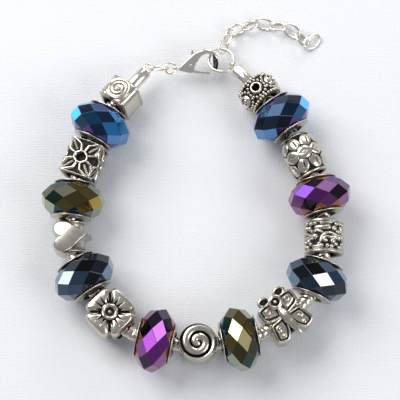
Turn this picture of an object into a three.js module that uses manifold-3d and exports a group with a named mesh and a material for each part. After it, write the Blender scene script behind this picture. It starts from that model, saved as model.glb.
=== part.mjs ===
// A charm bracelet lying closed on a table, in millimetres, +Z up.
// Big-hole beads hang on a round snake chain. Eight faceted glass rondelles stand on the table
// and carry the chain, and nine silver charms hang from it between them. A lobster clasp joins
// the two capped ends, and a short extension chain lies beside them.
import * as THREE from 'three';
import { mergeVertices } from 'three/addons/utils/BufferGeometryUtils.js';
import Module from 'manifold-3d';

const wasm = await Module();
wasm.setup();
const { Manifold, Mesh: SolidMesh } = wasm;

const deg = THREE.MathUtils.degToRad;
const CLEARANCE = 0.3;

// The string: a route of chosen points through the middle of the chain, from the left cap
// round by the front to the right cap. The third number is 0 where the chain is as high as the
// rondelles hold it, and 1 at its ends.
const CHAIN_ROUTE = [
  [-15.5, 26.2, 1], [-20.0, 20.7, 0.143], [-23.8, 13.2, 0], [-27.2, 4.4, 0],
  [-28.1, -3.8, 0], [-27.7, -12.0, 0], [-24.1, -18.9, 0], [-16.4, -28.4, 0],
  [-8.7, -31.4, 0], [-1.1, -31.8, 0], [5.0, -31.4, 0], [13.6, -29.4, 0],
  [24.3, -20.6, 0], [26.8, -13.0, 0], [27.0, -3.8, 0], [25.5, 3.8, 0],
  [20.0, 15.6, 0], [15.3, 22.4, 0.143], [11.4, 26.9, 1],
];
const END_HEIGHT = 5.3;
const CHAIN = { radius: 1.5, sides: 8, steps: 44 };
const HOLE_RADIUS = 2.5;
const HOLE_SIDES = 12;
const CURVE_ROOM = 0.1;
const HANG = HOLE_RADIUS * Math.cos(Math.PI / HOLE_SIDES) - CHAIN.radius - CLEARANCE - CURVE_ROOM;

const RONDELLE = { radius: 7, width: 6.5, bore: 3.35, facets: 8 };
// One row for each ring of points: its place across the bead, its radius as a share of the
// bead's, and whether it is turned by half a facet.
const RONDELLE_RINGS = [
  { across: 0.0, radius: 0.567, turned: 0 }, { across: 0.2, radius: 0.848, turned: 1 },
  { across: 0.4, radius: 1.0, turned: 0 }, { across: 0.6, radius: 1.0, turned: 1 },
  { across: 0.8, radius: 0.848, turned: 0 }, { across: 1.0, radius: 0.567, turned: 1 },
];
// A rondelle stands on the edge between two facets, and its core hangs on the chain.
const STANDING = RONDELLE.radius * Math.cos(Math.PI / (2 * RONDELLE.facets));
const CHAIN_HEIGHT = STANDING - HANG;
const CORE = { wall: 0.45, flangeRadius: 4.5, flange: 0.4, rim: 0.2, collar: 0.15 };

const CUBE = { length: 5.8, width: 7.8, corner: 1.3, bevel: 0.5, roll: 18,
  disc: 2.7, discSides: 10, discHeight: 0.35, ring: 1.5, ringHeight: 0.15, dot: 0.6 };
const STAR = { length: 8.0, width: 7.4, corner: 1.6, endRim: 0.7, roll: 8,
  petalReach: 4.9, petalWidth: 1.9, petalWall: 0.4, relief: 0.55,
  pit: 1.05, pitSides: 6, pitWall: 0.4, pitDepth: 0.8 };
const HEART = { length: 6.6, width: 7.8, thickness: 8.2, barrel: 3.3, points: 24 };
const FLOWER = { length: 9.8, width: 10.0, thickness: 7.4, puff: 0.7,
  boss: 1.75, bossHeight: 0.5, bossHole: 0.85, turn: 3,
  petal: [[-45, 0.84], [-36, 0.95], [-18, 1.0], [0, 0.98], [18, 1.0], [36, 0.95]] };
const DRUM = { diameter: 8.0, thickness: 7.4, groove: 0.5, turns: 2.4, ridge: 0.8, ridgeHeight: 0.45, rim: 0.55,
  sides: 20 };
const BUTTERFLY = { length: 9.4, bodyLength: 9.4, thickness: 6.9, wingHeight: 0.45, seam: 0.35,
  bodyWidth: 1.35, bodyHeight: 0.95, head: 1.25, headHole: 0.6, antenna: 1.35, antennaWire: 0.45 };
const SCROLL = { length: 7.3, radius: 3.95, sides: 16, band: 0.6, bandRise: 0.35, wire: 0.63, wireSides: 4, wireSteps: 9,
  curl: 1.5, lean: 200, count: 4, granule: 0.5, granuleAt: 2.04 };
const KNOT = { length: 9.5, radius: 3.9, endRadius: 3.0, sides: 12, band: 0.75, bandSides: 4, bandSteps: 20, wave: 1.5, loops: 4,
  over: 0.13, leafLength: 3.2, leafWidth: 1.7, leafTurn: 4 };
const GRANULATED = { length: 5.2, radius: 3.75, sides: 16, rings: 6, ring: 1.55, ringSides: 8, ringHole: 0.85, ringRise: 0.8,
  turn: 9, dome: 0.85, granule: 0.42, granules: 12 };

// What hangs between two beads shows as bare chain, shared out by these parts of the free length.
const BEAD_ORDER = [
  { name: 'swirl_cube', before: 0.1 }, { name: 'blue_left', before: 0.02 },
  { name: 'star', before: 0.15 }, { name: 'green_left', before: 0.2 },
  { name: 'heart', before: 0.1 }, { name: 'steel_left', before: 0.25 },
  { name: 'flower', before: 0.02 }, { name: 'purple_front', before: 1.0 },
  { name: 'swirl_disc', before: 3.1 }, { name: 'green_front', before: 1.9 },
  { name: 'butterfly', before: 2.0 }, { name: 'steel_right', before: 1.5 },
  { name: 'scroll_barrel', before: 0.02 }, { name: 'purple_right', before: 0.2 },
  { name: 'leaf_knot', before: 0.8 }, { name: 'blue_right', before: 1.0 },
  { name: 'granulated', before: 0.02 }, { name: 'cap', before: 0.1 },
];
// Each rondelle's own turn about the string, in half facets.
const RONDELLES = [
  { name: 'blue_left', glass: 'blue', turn: 0 }, { name: 'green_left', glass: 'green', turn: 1 },
  { name: 'steel_left', glass: 'steel', turn: 0 }, { name: 'purple_front', glass: 'purple', turn: 1 },
  { name: 'green_front', glass: 'green', turn: 0 }, { name: 'steel_right', glass: 'steel', turn: 1 },
  { name: 'purple_right', glass: 'purple', turn: 0 }, { name: 'blue_right', glass: 'blue', turn: 1 },
];

const CAP = { radius: 1.55, length: 4.7, bevel: 0.15, sides: 12 };
const CAP_LOOP = { radius: 1.0, wire: 0.45 };
const JUMP_RING = { radius: 2.9, wire: 0.6, sides: 5, steps: 24, tilt: -10, bearing: -28 };
const CLASP = { thickness: 1.9, hookThickness: 1.0, bevel: 0.14, roll: 28, eye: 0.75, eyeWire: 0.45 };
const LEVER = { thickness: 0.5, width: 0.55, pin: 0.3, boss: 0.95, tab: 1.0 };
const SMALL_RING = { wire: 0.42, sides: 5, steps: 14 };
const OVAL_LINK = { wire: 0.42, width: 2.6 };
// Linked wires lean against each other, so each pair has this much room between them.
const LINK_ROOM = 0.5;
const LINK = { length: 4.7, width: 3.3, wire: 0.46, sides: 5, steps: 14 };
// One row for each link of the extension chain: where it points, its roll, and its pitch where
// it still hangs from the jump ring.
const EXTENSION = [
  { heading: 62, roll: 50, pitch: -35 },
  { heading: 72, roll: -45, pitch: -12 },
  { heading: 15, roll: 55, pitch: 0 },
  { heading: 24, roll: -38, pitch: 0 },
  { heading: -15, roll: 52, pitch: 0 },
  { heading: -3, roll: -36, pitch: 0 },
  { heading: -34, roll: 38, pitch: 0 },
  { heading: -52, roll: -42, pitch: 0 },
  { heading: 38, roll: 20, pitch: 0 },
];

// Materials, one for each finish.
const material = (color, roughness, metalness) => new THREE.MeshStandardMaterial({ color, roughness, metalness });
const MATERIALS = {
  antique: material(0xa8a49c, 0.32, 1.0),
  bright: material(0xd8d4c8, 0.2, 1.0),
  blue: material(0x14488a, 0.06, 0.6),
  green: material(0x5a5a28, 0.06, 0.6),
  steel: material(0x2c3e50, 0.06, 0.6),
  purple: material(0x7a3fa0, 0.06, 0.6),
};

const bracelet = new THREE.Group();

function toSolid(geometry) {
  const bare = geometry.clone();
  bare.deleteAttribute('normal');
  bare.deleteAttribute('uv');
  const merged = mergeVertices(bare, 1e-4);
  return new Manifold(new SolidMesh({
    numProp: 3,
    vertProperties: Float32Array.from(merged.attributes.position.array),
    triVerts: Uint32Array.from(merged.index.array),
  }));
}

function toGeometry(solid) {
  const mesh = solid.getMesh();
  const geometry = new THREE.BufferGeometry();
  geometry.setAttribute('position', new THREE.BufferAttribute(Float32Array.from(mesh.vertProperties), 3));
  geometry.setIndex([...mesh.triVerts]);
  geometry.computeVertexNormals();
  return geometry;
}

function addPiece(name, solid, slot, matrix = new THREE.Matrix4()) {
  const mesh = new THREE.Mesh(toGeometry(solid), MATERIALS[slot]);
  mesh.name = name;
  matrix.decompose(mesh.position, mesh.quaternion, mesh.scale);
  bracelet.add(mesh);
}

const join = (...solids) => Manifold.union(solids);

// A round bar along X, centred.
function barAlongX(radius, length, sides = HOLE_SIDES) {
  return toSolid(new THREE.CylinderGeometry(radius, radius, length, sides).rotateZ(Math.PI / 2));
}

// A solid of revolution about X from points [x, radius].
function turnedAboutX(points, sides) {
  const outline = points.map(([x, radius]) => new THREE.Vector2(radius, -x));
  return toSolid(new THREE.LatheGeometry(outline, sides).rotateZ(Math.PI / 2));
}

// A solid of revolution about Z from points [radius, z], listed upwards.
function turnedAboutZ(points, sides) {
  const outline = points.map(([radius, z]) => new THREE.Vector2(radius, z));
  return toSolid(new THREE.LatheGeometry(outline, sides).rotateX(Math.PI / 2));
}

// A wire along an open path.
function sweep(path, wire, sides, steps) {
  const section = new THREE.Shape();
  for (let i = 0; i < sides; i += 1) {
    const angle = (2 * Math.PI * i) / sides;
    const x = (wire / 2) * Math.cos(angle);
    const y = (wire / 2) * Math.sin(angle);
    if (i === 0) section.moveTo(x, y);
    else section.lineTo(x, y);
  }
  return toSolid(new THREE.ExtrudeGeometry(section, { steps, extrudePath: path, bevelEnabled: false }));
}

// A flat wire ring about Z.
function wireRing(radius, wire, sides = 6, steps = 18) {
  return toSolid(new THREE.TorusGeometry(radius, wire / 2, sides, steps));
}

// An oval link lying flat, its length along X.
function ovalLink(length, width, wire) {
  const link = toSolid(new THREE.TorusGeometry(1, wire / 2, LINK.sides, LINK.steps));
  const [long, wide] = [(length - wire) / 2, (width - wire) / 2];
  return link.warp((point) => {
    const radius = Math.hypot(point[0], point[1]);
    const [x, y] = [point[0] / radius, point[1] / radius];
    point[0] = x * (long + radius - 1);
    point[1] = y * (wide + radius - 1);
  });
}

// A plate with an outline in XY, from z = 0 up.
function plate(shape, height, curveSegments = 3) {
  return toSolid(new THREE.ExtrudeGeometry(shape, { depth: height, bevelEnabled: false, curveSegments }));
}

function polygonShape(points) {
  const shape = new THREE.Shape();
  points.forEach(([x, y], i) => (i === 0 ? shape.moveTo(x, y) : shape.lineTo(x, y)));
  shape.closePath();
  return shape;
}

// A rounded square bar along X with softened ends.
function squareBar(length, width, corner, bevel) {
  const half = width / 2 - bevel;
  const inner = half - corner;
  const shape = new THREE.Shape();
  shape.moveTo(-inner, -half);
  shape.lineTo(inner, -half);
  shape.quadraticCurveTo(half, -half, half, -inner);
  shape.lineTo(half, inner);
  shape.quadraticCurveTo(half, half, inner, half);
  shape.lineTo(-inner, half);
  shape.quadraticCurveTo(-half, half, -half, inner);
  shape.lineTo(-half, -inner);
  shape.quadraticCurveTo(-half, -half, -inner, -half);
  const depth = length - 2 * bevel;
  const bar = new THREE.ExtrudeGeometry(shape, {
    depth, bevelThickness: bevel, bevelSize: bevel, bevelSegments: 1, curveSegments: 2,
  });
  return toSolid(bar.translate(0, 0, -depth / 2).rotateX(Math.PI / 2).rotateZ(Math.PI / 2));
}

function drilled(solid, length) {
  return solid.subtract(barAlongX(HOLE_RADIUS, length + 2 * CLEARANCE));
}

// Copies of a feature round the X axis, made on top and turned by each angle.
function aroundX(feature, count, start = 0) {
  return Array.from({ length: count }, (_, i) => feature.rotate([start + (360 * i) / count, 0, 0]));
}

function granule(radius) {
  return toSolid(new THREE.OctahedronGeometry(radius, 0));
}

// The string's length, and points along it by distance from the left cap.
const route = new THREE.CatmullRomCurve3(
  CHAIN_ROUTE.map(([x, y, end]) => new THREE.Vector3(x, y, THREE.MathUtils.lerp(CHAIN_HEIGHT, END_HEIGHT, end))),
  false, 'centripetal');
route.arcLengthDivisions = 600;
const stringLength = route.getLength();
const pointOnString = (s) => route.getPointAt(THREE.MathUtils.clamp(s / stringLength, 0, 1));

function frameFrom(centre, along) {
  const up = new THREE.Vector3(0, 0, 1).addScaledVector(along, -along.z).normalize();
  const across = new THREE.Vector3().crossVectors(up, along);
  return new THREE.Matrix4().makeBasis(along, across, up).setPosition(centre);
}

// A bead's seat on the string: X along it, Y to the inside of the loop, Z up.
function seat(start, length) {
  const [from, middle, to] = [start, start + length / 2, start + length].map(pointOnString);
  const along = to.clone().sub(from).normalize();
  const centre = from.clone().add(to).multiplyScalar(0.5).add(middle).multiplyScalar(0.5);
  return { centre, along };
}

function rondelleGlass(turn) {
  const { radius, width, bore, facets } = RONDELLE;
  const step = (2 * Math.PI) / facets;
  const positions = [];
  const index = [];
  const pointOf = (ring, i, share) => {
    const angle = (i + ring.turned / 2 + share) * step;
    return [(ring.across - 0.5) * width, radius * ring.radius * Math.cos(angle), radius * ring.radius * Math.sin(angle)];
  };
  // A quarter of a facet's step brings the edge between the two widest rings down to the table.
  const turned = 0.25 + turn / 2;
  RONDELLE_RINGS.forEach((ring) => {
    for (let i = 0; i < facets; i += 1) positions.push(...pointOf(ring, i, turned));
  });
  const first = positions.length / 3;
  positions.push(-width / 2, 0, 0, width / 2, 0, 0);
  const at = (ring, i) => ring * facets + ((i + facets) % facets);
  for (let ring = 0; ring + 1 < RONDELLE_RINGS.length; ring += 1) {
    const shift = RONDELLE_RINGS[ring].turned;
    for (let i = 0; i < facets; i += 1) {
      index.push(at(ring, i), at(ring, i + 1), at(ring + 1, i + shift));
      index.push(at(ring + 1, i - 1 + shift), at(ring, i), at(ring + 1, i + shift));
    }
  }
  const last = RONDELLE_RINGS.length - 1;
  for (let i = 0; i < facets; i += 1) {
    index.push(first, at(0, i + 1), at(0, i));
    index.push(first + 1, at(last, i), at(last, i + 1));
  }
  const geometry = new THREE.BufferGeometry();
  geometry.setAttribute('position', new THREE.Float32BufferAttribute(positions, 3));
  geometry.setIndex(index);
  return toSolid(geometry).subtract(barAlongX(bore, width + 2 * CLEARANCE));
}

const glassEnd = RONDELLE.width / 2;
const flangeInside = glassEnd + CLEARANCE;
const coreLength = 2 * (flangeInside + CORE.flange + CORE.collar);

function rondelleCore() {
  const tube = HOLE_RADIUS + CORE.wall;
  const flangeOutside = flangeInside + CORE.flange;
  const half = [
    [flangeInside, tube], [flangeInside, CORE.flangeRadius], [flangeInside + CORE.rim, CORE.flangeRadius],
    [flangeOutside, tube + CORE.wall], [coreLength / 2, tube], [coreLength / 2, HOLE_RADIUS],
  ];
  const mirrored = half.map(([x, radius]) => [-x, radius]).reverse();
  return turnedAboutX([...half, ...mirrored, half[0]].reverse(), HOLE_SIDES);
}

function swirlCube() {
  const face = CUBE.width / 2;
  const disc = turnedAboutZ([
    [0, face - CUBE.corner], [CUBE.disc, face - CUBE.corner], [CUBE.disc, face + CUBE.discHeight],
    [CUBE.disc - CUBE.dot, face + CUBE.discHeight], [CUBE.ring, face + CUBE.ringHeight],
    [CUBE.dot, face + CUBE.ringHeight], [0, face + CUBE.discHeight],
  ], CUBE.discSides);
  const body = squareBar(CUBE.length, CUBE.width, CUBE.corner, CUBE.bevel);
  return drilled(join(body, ...aroundX(disc, 4)), CUBE.length).rotate([CUBE.roll, 0, 0]);
}

function leafShape(length, width) {
  const shape = new THREE.Shape();
  shape.moveTo(0, 0);
  shape.quadraticCurveTo(length / 2, width, length, 0);
  shape.quadraticCurveTo(length / 2, -width, 0, 0);
  return shape;
}

function starBead() {
  const face = STAR.width / 2;
  const inside = face - STAR.relief;
  const from = STAR.pit + STAR.pitWall / 2;
  const length = STAR.petalReach - from;
  const inner = 1 - (2 * STAR.petalWall) / STAR.petalWidth;
  const cut = plate(leafShape(length * inner, STAR.petalWidth * inner), STAR.relief, 2)
    .translate([(length * (1 - inner)) / 2, 0, CLEARANCE + STAR.relief / 3]);
  const petal = plate(leafShape(length, STAR.petalWidth), STAR.relief + CLEARANCE, 2).subtract(cut)
    .translate([from, 0, inside - CLEARANCE]);
  const corner = THREE.MathUtils.radToDeg(Math.atan2(STAR.width, STAR.length));
  const petals = [corner, 180 - corner, 180 + corner, -corner].map((angle) => petal.rotate([0, 0, angle]));
  const rim = barAlongZ(STAR.pit + STAR.pitWall, STAR.relief + CLEARANCE, STAR.pitSides).translate([0, 0, inside - CLEARANCE]);
  const pit = barAlongZ(STAR.pit, 2 * STAR.pitDepth, STAR.pitSides).translate([0, 0, face - STAR.pitDepth]);
  const side = join(rim, ...petals);
  const end = squareBar(STAR.endRim, STAR.width, STAR.corner, STAR.endRim / 4);
  const reach = (STAR.length - STAR.endRim) / 2;
  const body = squareBar(STAR.length, 2 * inside, STAR.corner, STAR.endRim / 4);
  const whole = join(body, end.translate([reach, 0, 0]), end.translate([-reach, 0, 0]), ...aroundX(side, 4));
  return drilled(whole.subtract(join(...aroundX(pit, 4))), STAR.length).rotate([STAR.roll, 0, 0]);
}

// A round bar standing on z = 0.
function barAlongZ(radius, height, sides = HOLE_SIDES) {
  return toSolid(new THREE.CylinderGeometry(radius, radius, height, sides).rotateX(Math.PI / 2).translate(0, 0, height / 2));
}

// The heart's outline in unit lengths: its point at +Y and its two lobes at -Y.
function heartOutline(count) {
  return Array.from({ length: count }, (_, i) => {
    const t = (2 * Math.PI * (i + 0.5)) / count;
    const x = Math.sin(t) ** 3;
    const y = -(13 * Math.cos(t) - 5 * Math.cos(2 * t) - 2 * Math.cos(3 * t) - Math.cos(4 * t)) / 14.5 - 0.14;
    return [x / 2, y / 2];
  });
}

// A solid lofted through copies of one outline, scaled and raised row by row.
function loft(outline, rows) {
  const count = outline.length;
  const positions = [];
  const index = [];
  rows.forEach(({ z, scaleX, scaleY }) => outline.forEach(([x, y]) => positions.push(x * scaleX, y * scaleY, z)));
  for (let row = 0; row + 1 < rows.length; row += 1) {
    for (let i = 0; i < count; i += 1) {
      const [a, b] = [row * count + i, row * count + ((i + 1) % count)];
      index.push(a, b, b + count, a, b + count, a + count);
    }
  }
  const cap = THREE.ShapeUtils.triangulateShape(outline.map(([x, y]) => new THREE.Vector2(x, y)), []);
  const top = (rows.length - 1) * count;
  cap.forEach(([a, b, c]) => index.push(a, c, b, top + a, top + b, top + c));
  const geometry = new THREE.BufferGeometry();
  geometry.setAttribute('position', new THREE.Float32BufferAttribute(positions, 3));
  geometry.setIndex(index);
  const area = THREE.ShapeUtils.area(outline.map(([x, y]) => new THREE.Vector2(x, y)));
  if (area < 0) geometry.setIndex(index.flatMap((_, i, all) => (i % 3 ? [] : [all[i], all[i + 2], all[i + 1]])));
  return toSolid(geometry);
}

// Rows of a shape that is full in the middle and rounded towards both faces.
const PUFFED = [
  { share: -1.0, scale: 0.45 }, { share: -0.86, scale: 0.75 }, { share: -0.6, scale: 0.95 }, { share: -0.3, scale: 1.0 },
  { share: 0.3, scale: 1.0 }, { share: 0.6, scale: 0.95 }, { share: 0.86, scale: 0.75 }, { share: 1.0, scale: 0.45 },
];

function heartBead() {
  const rows = PUFFED.map(({ share, scale }) => (
    { z: (share * HEART.thickness) / 2, scaleX: HEART.length * scale, scaleY: HEART.width * scale }));
  const heart = loft(heartOutline(HEART.points), rows);
  const barrel = barAlongX(HEART.barrel, HEART.length);
  return drilled(join(heart, barrel), HEART.length);
}

// Four broad petals with notches between them, in unit lengths. Two of them lie along the string.
function petalOutline() {
  const points = [];
  for (let petal = 0; petal < 4; petal += 1) {
    FLOWER.petal.forEach(([turn, reach]) => {
      const angle = deg(90 * petal + FLOWER.turn + turn);
      points.push([(reach / 2) * Math.cos(angle), (reach / 2) * Math.sin(angle)]);
    });
  }
  return points;
}

function flowerBead() {
  const half = FLOWER.thickness / 2;
  const rows = [
    { z: -half, scale: 0.82 }, { z: -half + FLOWER.puff, scale: 1 },
    { z: half - FLOWER.puff, scale: 1 }, { z: half, scale: 0.82 },
  ].map(({ z, scale }) => ({ z, scaleX: FLOWER.length * scale, scaleY: FLOWER.width * scale }));
  const boss = barAlongZ(FLOWER.boss, FLOWER.bossHeight + CLEARANCE).subtract(
    barAlongZ(FLOWER.bossHole, FLOWER.bossHeight + CLEARANCE).translate([0, 0, CLEARANCE]),
  ).translate([0, 0, half - CLEARANCE]);
  return drilled(join(loft(petalOutline(), rows), boss), FLOWER.length);
}

// A flat spiral ridge about Z.
function spiralRidge(radius, turns, width, height) {
  const count = 9 * Math.ceil(turns);
  const points = Array.from({ length: count }, (_, i) => {
    const share = i / (count - 1);
    const angle = 2 * Math.PI * turns * share + Math.PI / 2;
    const reach = THREE.MathUtils.lerp(width / 2, radius, share);
    return new THREE.Vector2(reach * Math.cos(angle), -reach * Math.sin(angle));
  });
  const side = (sign) => points.map((point, i) => {
    const before = points[Math.max(i - 1, 0)];
    const after = points[Math.min(i + 1, points.length - 1)];
    const run = after.clone().sub(before).normalize();
    return [point.x - sign * run.y * (width / 2), point.y + sign * run.x * (width / 2)];
  });
  return plate(polygonShape([...side(1), ...side(-1).reverse()]), height);
}

function swirlDrum() {
  const half = DRUM.thickness / 2;
  const radius = DRUM.diameter / 2;
  const floor = half - DRUM.ridgeHeight;
  const drum = turnedAboutZ([
    [0, -half], [radius - DRUM.rim, -half], [radius, -half + DRUM.rim], [radius, half - DRUM.rim],
    [radius - DRUM.rim / 2, half], [radius - DRUM.rim, half], [radius - DRUM.rim, floor], [0, floor],
  ], DRUM.sides);
  const reach = radius - DRUM.rim - DRUM.groove - DRUM.ridge / 2;
  const ridge = spiralRidge(reach, DRUM.turns, DRUM.ridge, DRUM.ridgeHeight + CLEARANCE);
  return drilled(join(drum, ridge.translate([0, 0, floor - CLEARANCE])), DRUM.diameter);
}

// Half of the butterfly's wings in shares of its length and its body's length, for x > 0.
const FORE_WING = [[0.05, 0.14], [0.25, 0.42], [0.44, 0.36], [0.5, 0.24], [0.4, 0.03], [0.08, 0.0]];
const HIND_WING = [[0.06, -0.05], [0.4, -0.04], [0.46, -0.2], [0.42, -0.48], [0.26, -0.5], [0.06, -0.3]];

function butterflyBead() {
  const { length, bodyLength, thickness, wingHeight, seam } = BUTTERFLY;
  const scaled = (points, sign) => points.map(([x, y]) => [sign * x * length, y * bodyLength]);
  const half = thickness / 2;
  const deck = half - wingHeight;
  const sides = [1, -1].flatMap((sign) => [FORE_WING, HIND_WING].map((wing) => plate(
    polygonShape(scaled(wing, sign)), thickness - (wing === HIND_WING ? 0 : seam)).translate([0, 0, -half])));
  const middle = plate(polygonShape([[-0.3, -0.42], [0.3, -0.42], [0.34, 0.3], [-0.34, 0.3]]
    .map(([x, y]) => [x * length, y * bodyLength])), half + deck).translate([0, 0, -half]);
  const body = toSolid(new THREE.SphereGeometry(0.5, 8, 6)
    .scale(BUTTERFLY.bodyWidth, bodyLength * 0.78, 2 * BUTTERFLY.bodyHeight)
    .translate(0, -bodyLength * 0.12, half - wingHeight / 2));
  const headAt = bodyLength * 0.34;
  const head = barAlongZ(BUTTERFLY.head, wingHeight + BUTTERFLY.bodyHeight / 2 + CLEARANCE)
    .translate([0, headAt, deck - CLEARANCE]);
  const headPit = barAlongZ(BUTTERFLY.headHole, wingHeight).translate([0, headAt, half + seam / 2]);
  const antennae = [1, -1].map((sign) => wireRing(BUTTERFLY.antenna / 2, BUTTERFLY.antennaWire * 2, 5, 12)
    .translate([sign * 0.22 * length, bodyLength * 0.47, half - BUTTERFLY.antennaWire]));
  return drilled(join(middle, ...sides, body, head, ...antennae).subtract(headPit), length + 1);
}

// A hooked scroll wound on the barrel, its eye at the middle.
function barrelScroll(radius, reach, lean) {
  const points = Array.from({ length: 9 }, (_, i) => {
    const share = i / 8;
    const angle = deg(lean + 400 * share);
    const out = reach * (0.25 + 0.75 * share);
    const around = (out * Math.sin(angle)) / radius;
    return new THREE.Vector3(out * Math.cos(angle), radius * Math.sin(around), radius * Math.cos(around));
  });
  return sweep(new THREE.CatmullRomCurve3(points), SCROLL.wire, SCROLL.wireSides, SCROLL.wireSteps);
}

function bandedBarrel({ length, radius, band, bandRise: rise, sides }) {
  const half = length / 2;
  return turnedAboutX([
    [half, 0], [half, radius + rise], [half - band, radius + rise], [half - band - rise, radius],
    [-half + band + rise, radius], [-half + band, radius + rise], [-half, radius + rise], [-half, 0],
  ], sides);
}

function scrollBarrel() {
  const barrel = bandedBarrel(SCROLL);
  const scrolls = aroundX(barrelScroll(SCROLL.radius, SCROLL.curl, SCROLL.lean), SCROLL.count, 10);
  const granules = [[1, 50], [-1, 60]].flatMap(([sign, start]) => aroundX(
    granule(SCROLL.granule).translate([sign * SCROLL.granuleAt, 0, SCROLL.radius]), SCROLL.count, start));
  return drilled(join(barrel, ...scrolls, ...granules), SCROLL.length);
}

// A band round the X axis that waves to and fro along it.
function waveRing(radius, phase) {
  const ring = toSolid(new THREE.TorusGeometry(radius, KNOT.band / 2, KNOT.bandSides, KNOT.bandSteps).rotateY(Math.PI / 2));
  return ring.warp((point) => {
    point[0] += (KNOT.wave / 2) * Math.cos(KNOT.loops * Math.atan2(point[1], point[2]) + phase);
  });
}

function leafKnot() {
  const half = KNOT.length / 2;
  const { radius, endRadius, band } = KNOT;
  const egg = turnedAboutX([
    [half, 0], [half, endRadius], [half - band, endRadius], [half * 0.6, radius * 0.92], [half * 0.2, radius],
    [-half * 0.25, radius], [-half * 0.62, radius * 0.9], [-half + band, endRadius], [-half, endRadius], [-half, 0],
  ], KNOT.sides);
  // One wave passes over the other where they cross.
  const waves = [waveRing(radius, 0), waveRing(radius + KNOT.over, Math.PI)];
  const leaf = plate(leafShape(KNOT.leafLength, KNOT.leafWidth), band, 2)
    .translate([half * 0.2, 0, radius * 0.84]);
  return drilled(join(egg, ...waves, ...aroundX(leaf, KNOT.loops, KNOT.leafTurn)), KNOT.length);
}

function granulatedBead() {
  const { length, radius, rings, ring, ringSides, ringHole, ringRise, dome, turn } = GRANULATED;
  const barrel = barAlongX(radius, length, GRANULATED.sides);
  const top = radius + ringRise;
  const base = radius - ringRise;
  const open = turnedAboutZ([[0, base], [ring, base], [ring, top - 0.2], [ring - 0.25, top], [ringHole, top],
    [ringHole, base + ringRise / 2], [0, base + ringRise / 2]], ringSides);
  const domed = turnedAboutZ([[0, base], [ring, base], [ring, top - 0.3], [dome, top - 0.45], [dome * 0.6, top], [0, top]],
    ringSides);
  const apart = 360 / rings;
  const rims = [...aroundX(open, rings / 2, turn), ...aroundX(domed, rings / 2, turn - apart)];
  const edge = [-1, 1].flatMap((sign) => aroundX(
    granule(GRANULATED.granule).translate([sign * (length / 2 - GRANULATED.granule), 0, radius + GRANULATED.granule / 3]),
    GRANULATED.granules));
  return drilled(join(barrel, ...rims, ...edge), length);
}

// The string of beads, threaded one after another.
const CHARMS = {
  swirl_cube: { length: CUBE.length, end: CUBE.width / 2, make: swirlCube },
  star: { length: STAR.length, end: STAR.width / 2, make: starBead },
  heart: { length: HEART.length, end: HEART.barrel, make: heartBead },
  flower: { length: FLOWER.length, end: FLOWER.width / 3, make: flowerBead },
  swirl_disc: { length: DRUM.diameter, end: 0, make: swirlDrum },
  butterfly: { length: BUTTERFLY.length, end: BUTTERFLY.bodyLength / 3, make: butterflyBead },
  scroll_barrel: { length: SCROLL.length, end: SCROLL.radius + SCROLL.bandRise, make: scrollBarrel },
  leaf_knot: { length: KNOT.length, end: KNOT.endRadius, make: leafKnot },
  granulated: { length: GRANULATED.length, end: GRANULATED.radius + GRANULATED.granule, make: granulatedBead },
};
const lengthOf = (name) => (CHARMS[name] ? CHARMS[name].length : coreLength);
const endOf = (name) => (CHARMS[name] ? CHARMS[name].end : CORE.flangeRadius);

// Beads lean apart where the string bends, so the gap between two of them also holds the
// lean of the narrower end. What is left of the string is shared out as bare chain.
function threadBeads() {
  const beads = BEAD_ORDER.filter(({ name }) => name !== 'cap');
  const strung = beads.reduce((sum, { name }) => sum + lengthOf(name), 0);
  const parts = BEAD_ORDER.reduce((sum, { before }) => sum + before, 0);
  let leans = BEAD_ORDER.map(() => 0);
  let seats = [];
  for (let pass = 0; pass < 4; pass += 1) {
    const free = stringLength - strung - BEAD_ORDER.length * CLEARANCE - leans.reduce((sum, lean) => sum + lean, 0);
    let at = 0;
    seats = beads.map(({ name, before }, i) => {
      at += CLEARANCE + leans[i] + (free * before) / parts;
      const place = seat(at, lengthOf(name));
      at += lengthOf(name);
      return place;
    });
    leans = BEAD_ORDER.map(({ name }, i) => (i === 0 || name === 'cap' ? 0
      : seats[i].along.angleTo(seats[i - 1].along) * Math.min(endOf(name), endOf(beads[i - 1].name))));
  }
  beads.forEach(({ name }, i) => {
    const { centre, along } = seats[i];
    if (CHARMS[name]) {
      centre.z -= HANG;
      addPiece(name, CHARMS[name].make(), 'antique', frameFrom(centre, along));
      return;
    }
    const { glass, turn } = RONDELLES.find((row) => row.name === name);
    centre.z = STANDING;
    const place = frameFrom(centre, along.setZ(0).normalize());
    addPiece(`glass_${name}`, rondelleGlass(turn), glass, place);
    addPiece(`core_${name}`, rondelleCore(), 'antique', place);
  });
}

function snakeChain() {
  addPiece('snake_chain', sweep(route, 2 * CHAIN.radius, CHAIN.sides, CHAIN.steps), 'antique');
}

// An end cap on the chain: its frame has X pointing away from the beads.
function capFrame(end) {
  const tip = pointOnString(end);
  const along = tip.clone().sub(pointOnString(Math.abs(end - CAP.radius))).normalize();
  return frameFrom(tip.addScaledVector(along, CLEARANCE), along);
}

const capLoopAt = CAP.length + CAP_LOOP.radius + CAP_LOOP.wire / 4;

function endCap(name, frame, upright) {
  const { radius, length, bevel, sides } = CAP;
  const tube = turnedAboutX([[length, 0], [length, radius - bevel], [length - bevel, radius], [bevel, radius],
    [0, radius - bevel], [0, 0]], sides);
  const loop = wireRing(CAP_LOOP.radius, CAP_LOOP.wire).rotate([upright ? 90 : 0, 0, 0]);
  addPiece(name, join(tube, loop.translate([capLoopAt, 0, 0])), 'bright', frame);
}

const inFrame = (frame, x, y = 0, z = 0) => new THREE.Vector3(x, y, z).applyMatrix4(frame);

const leftCap = capFrame(0);
const rightCap = capFrame(stringLength);
const leftLoop = inFrame(leftCap, capLoopAt);
const rightLoop = inFrame(rightCap, capLoopAt);

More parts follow.
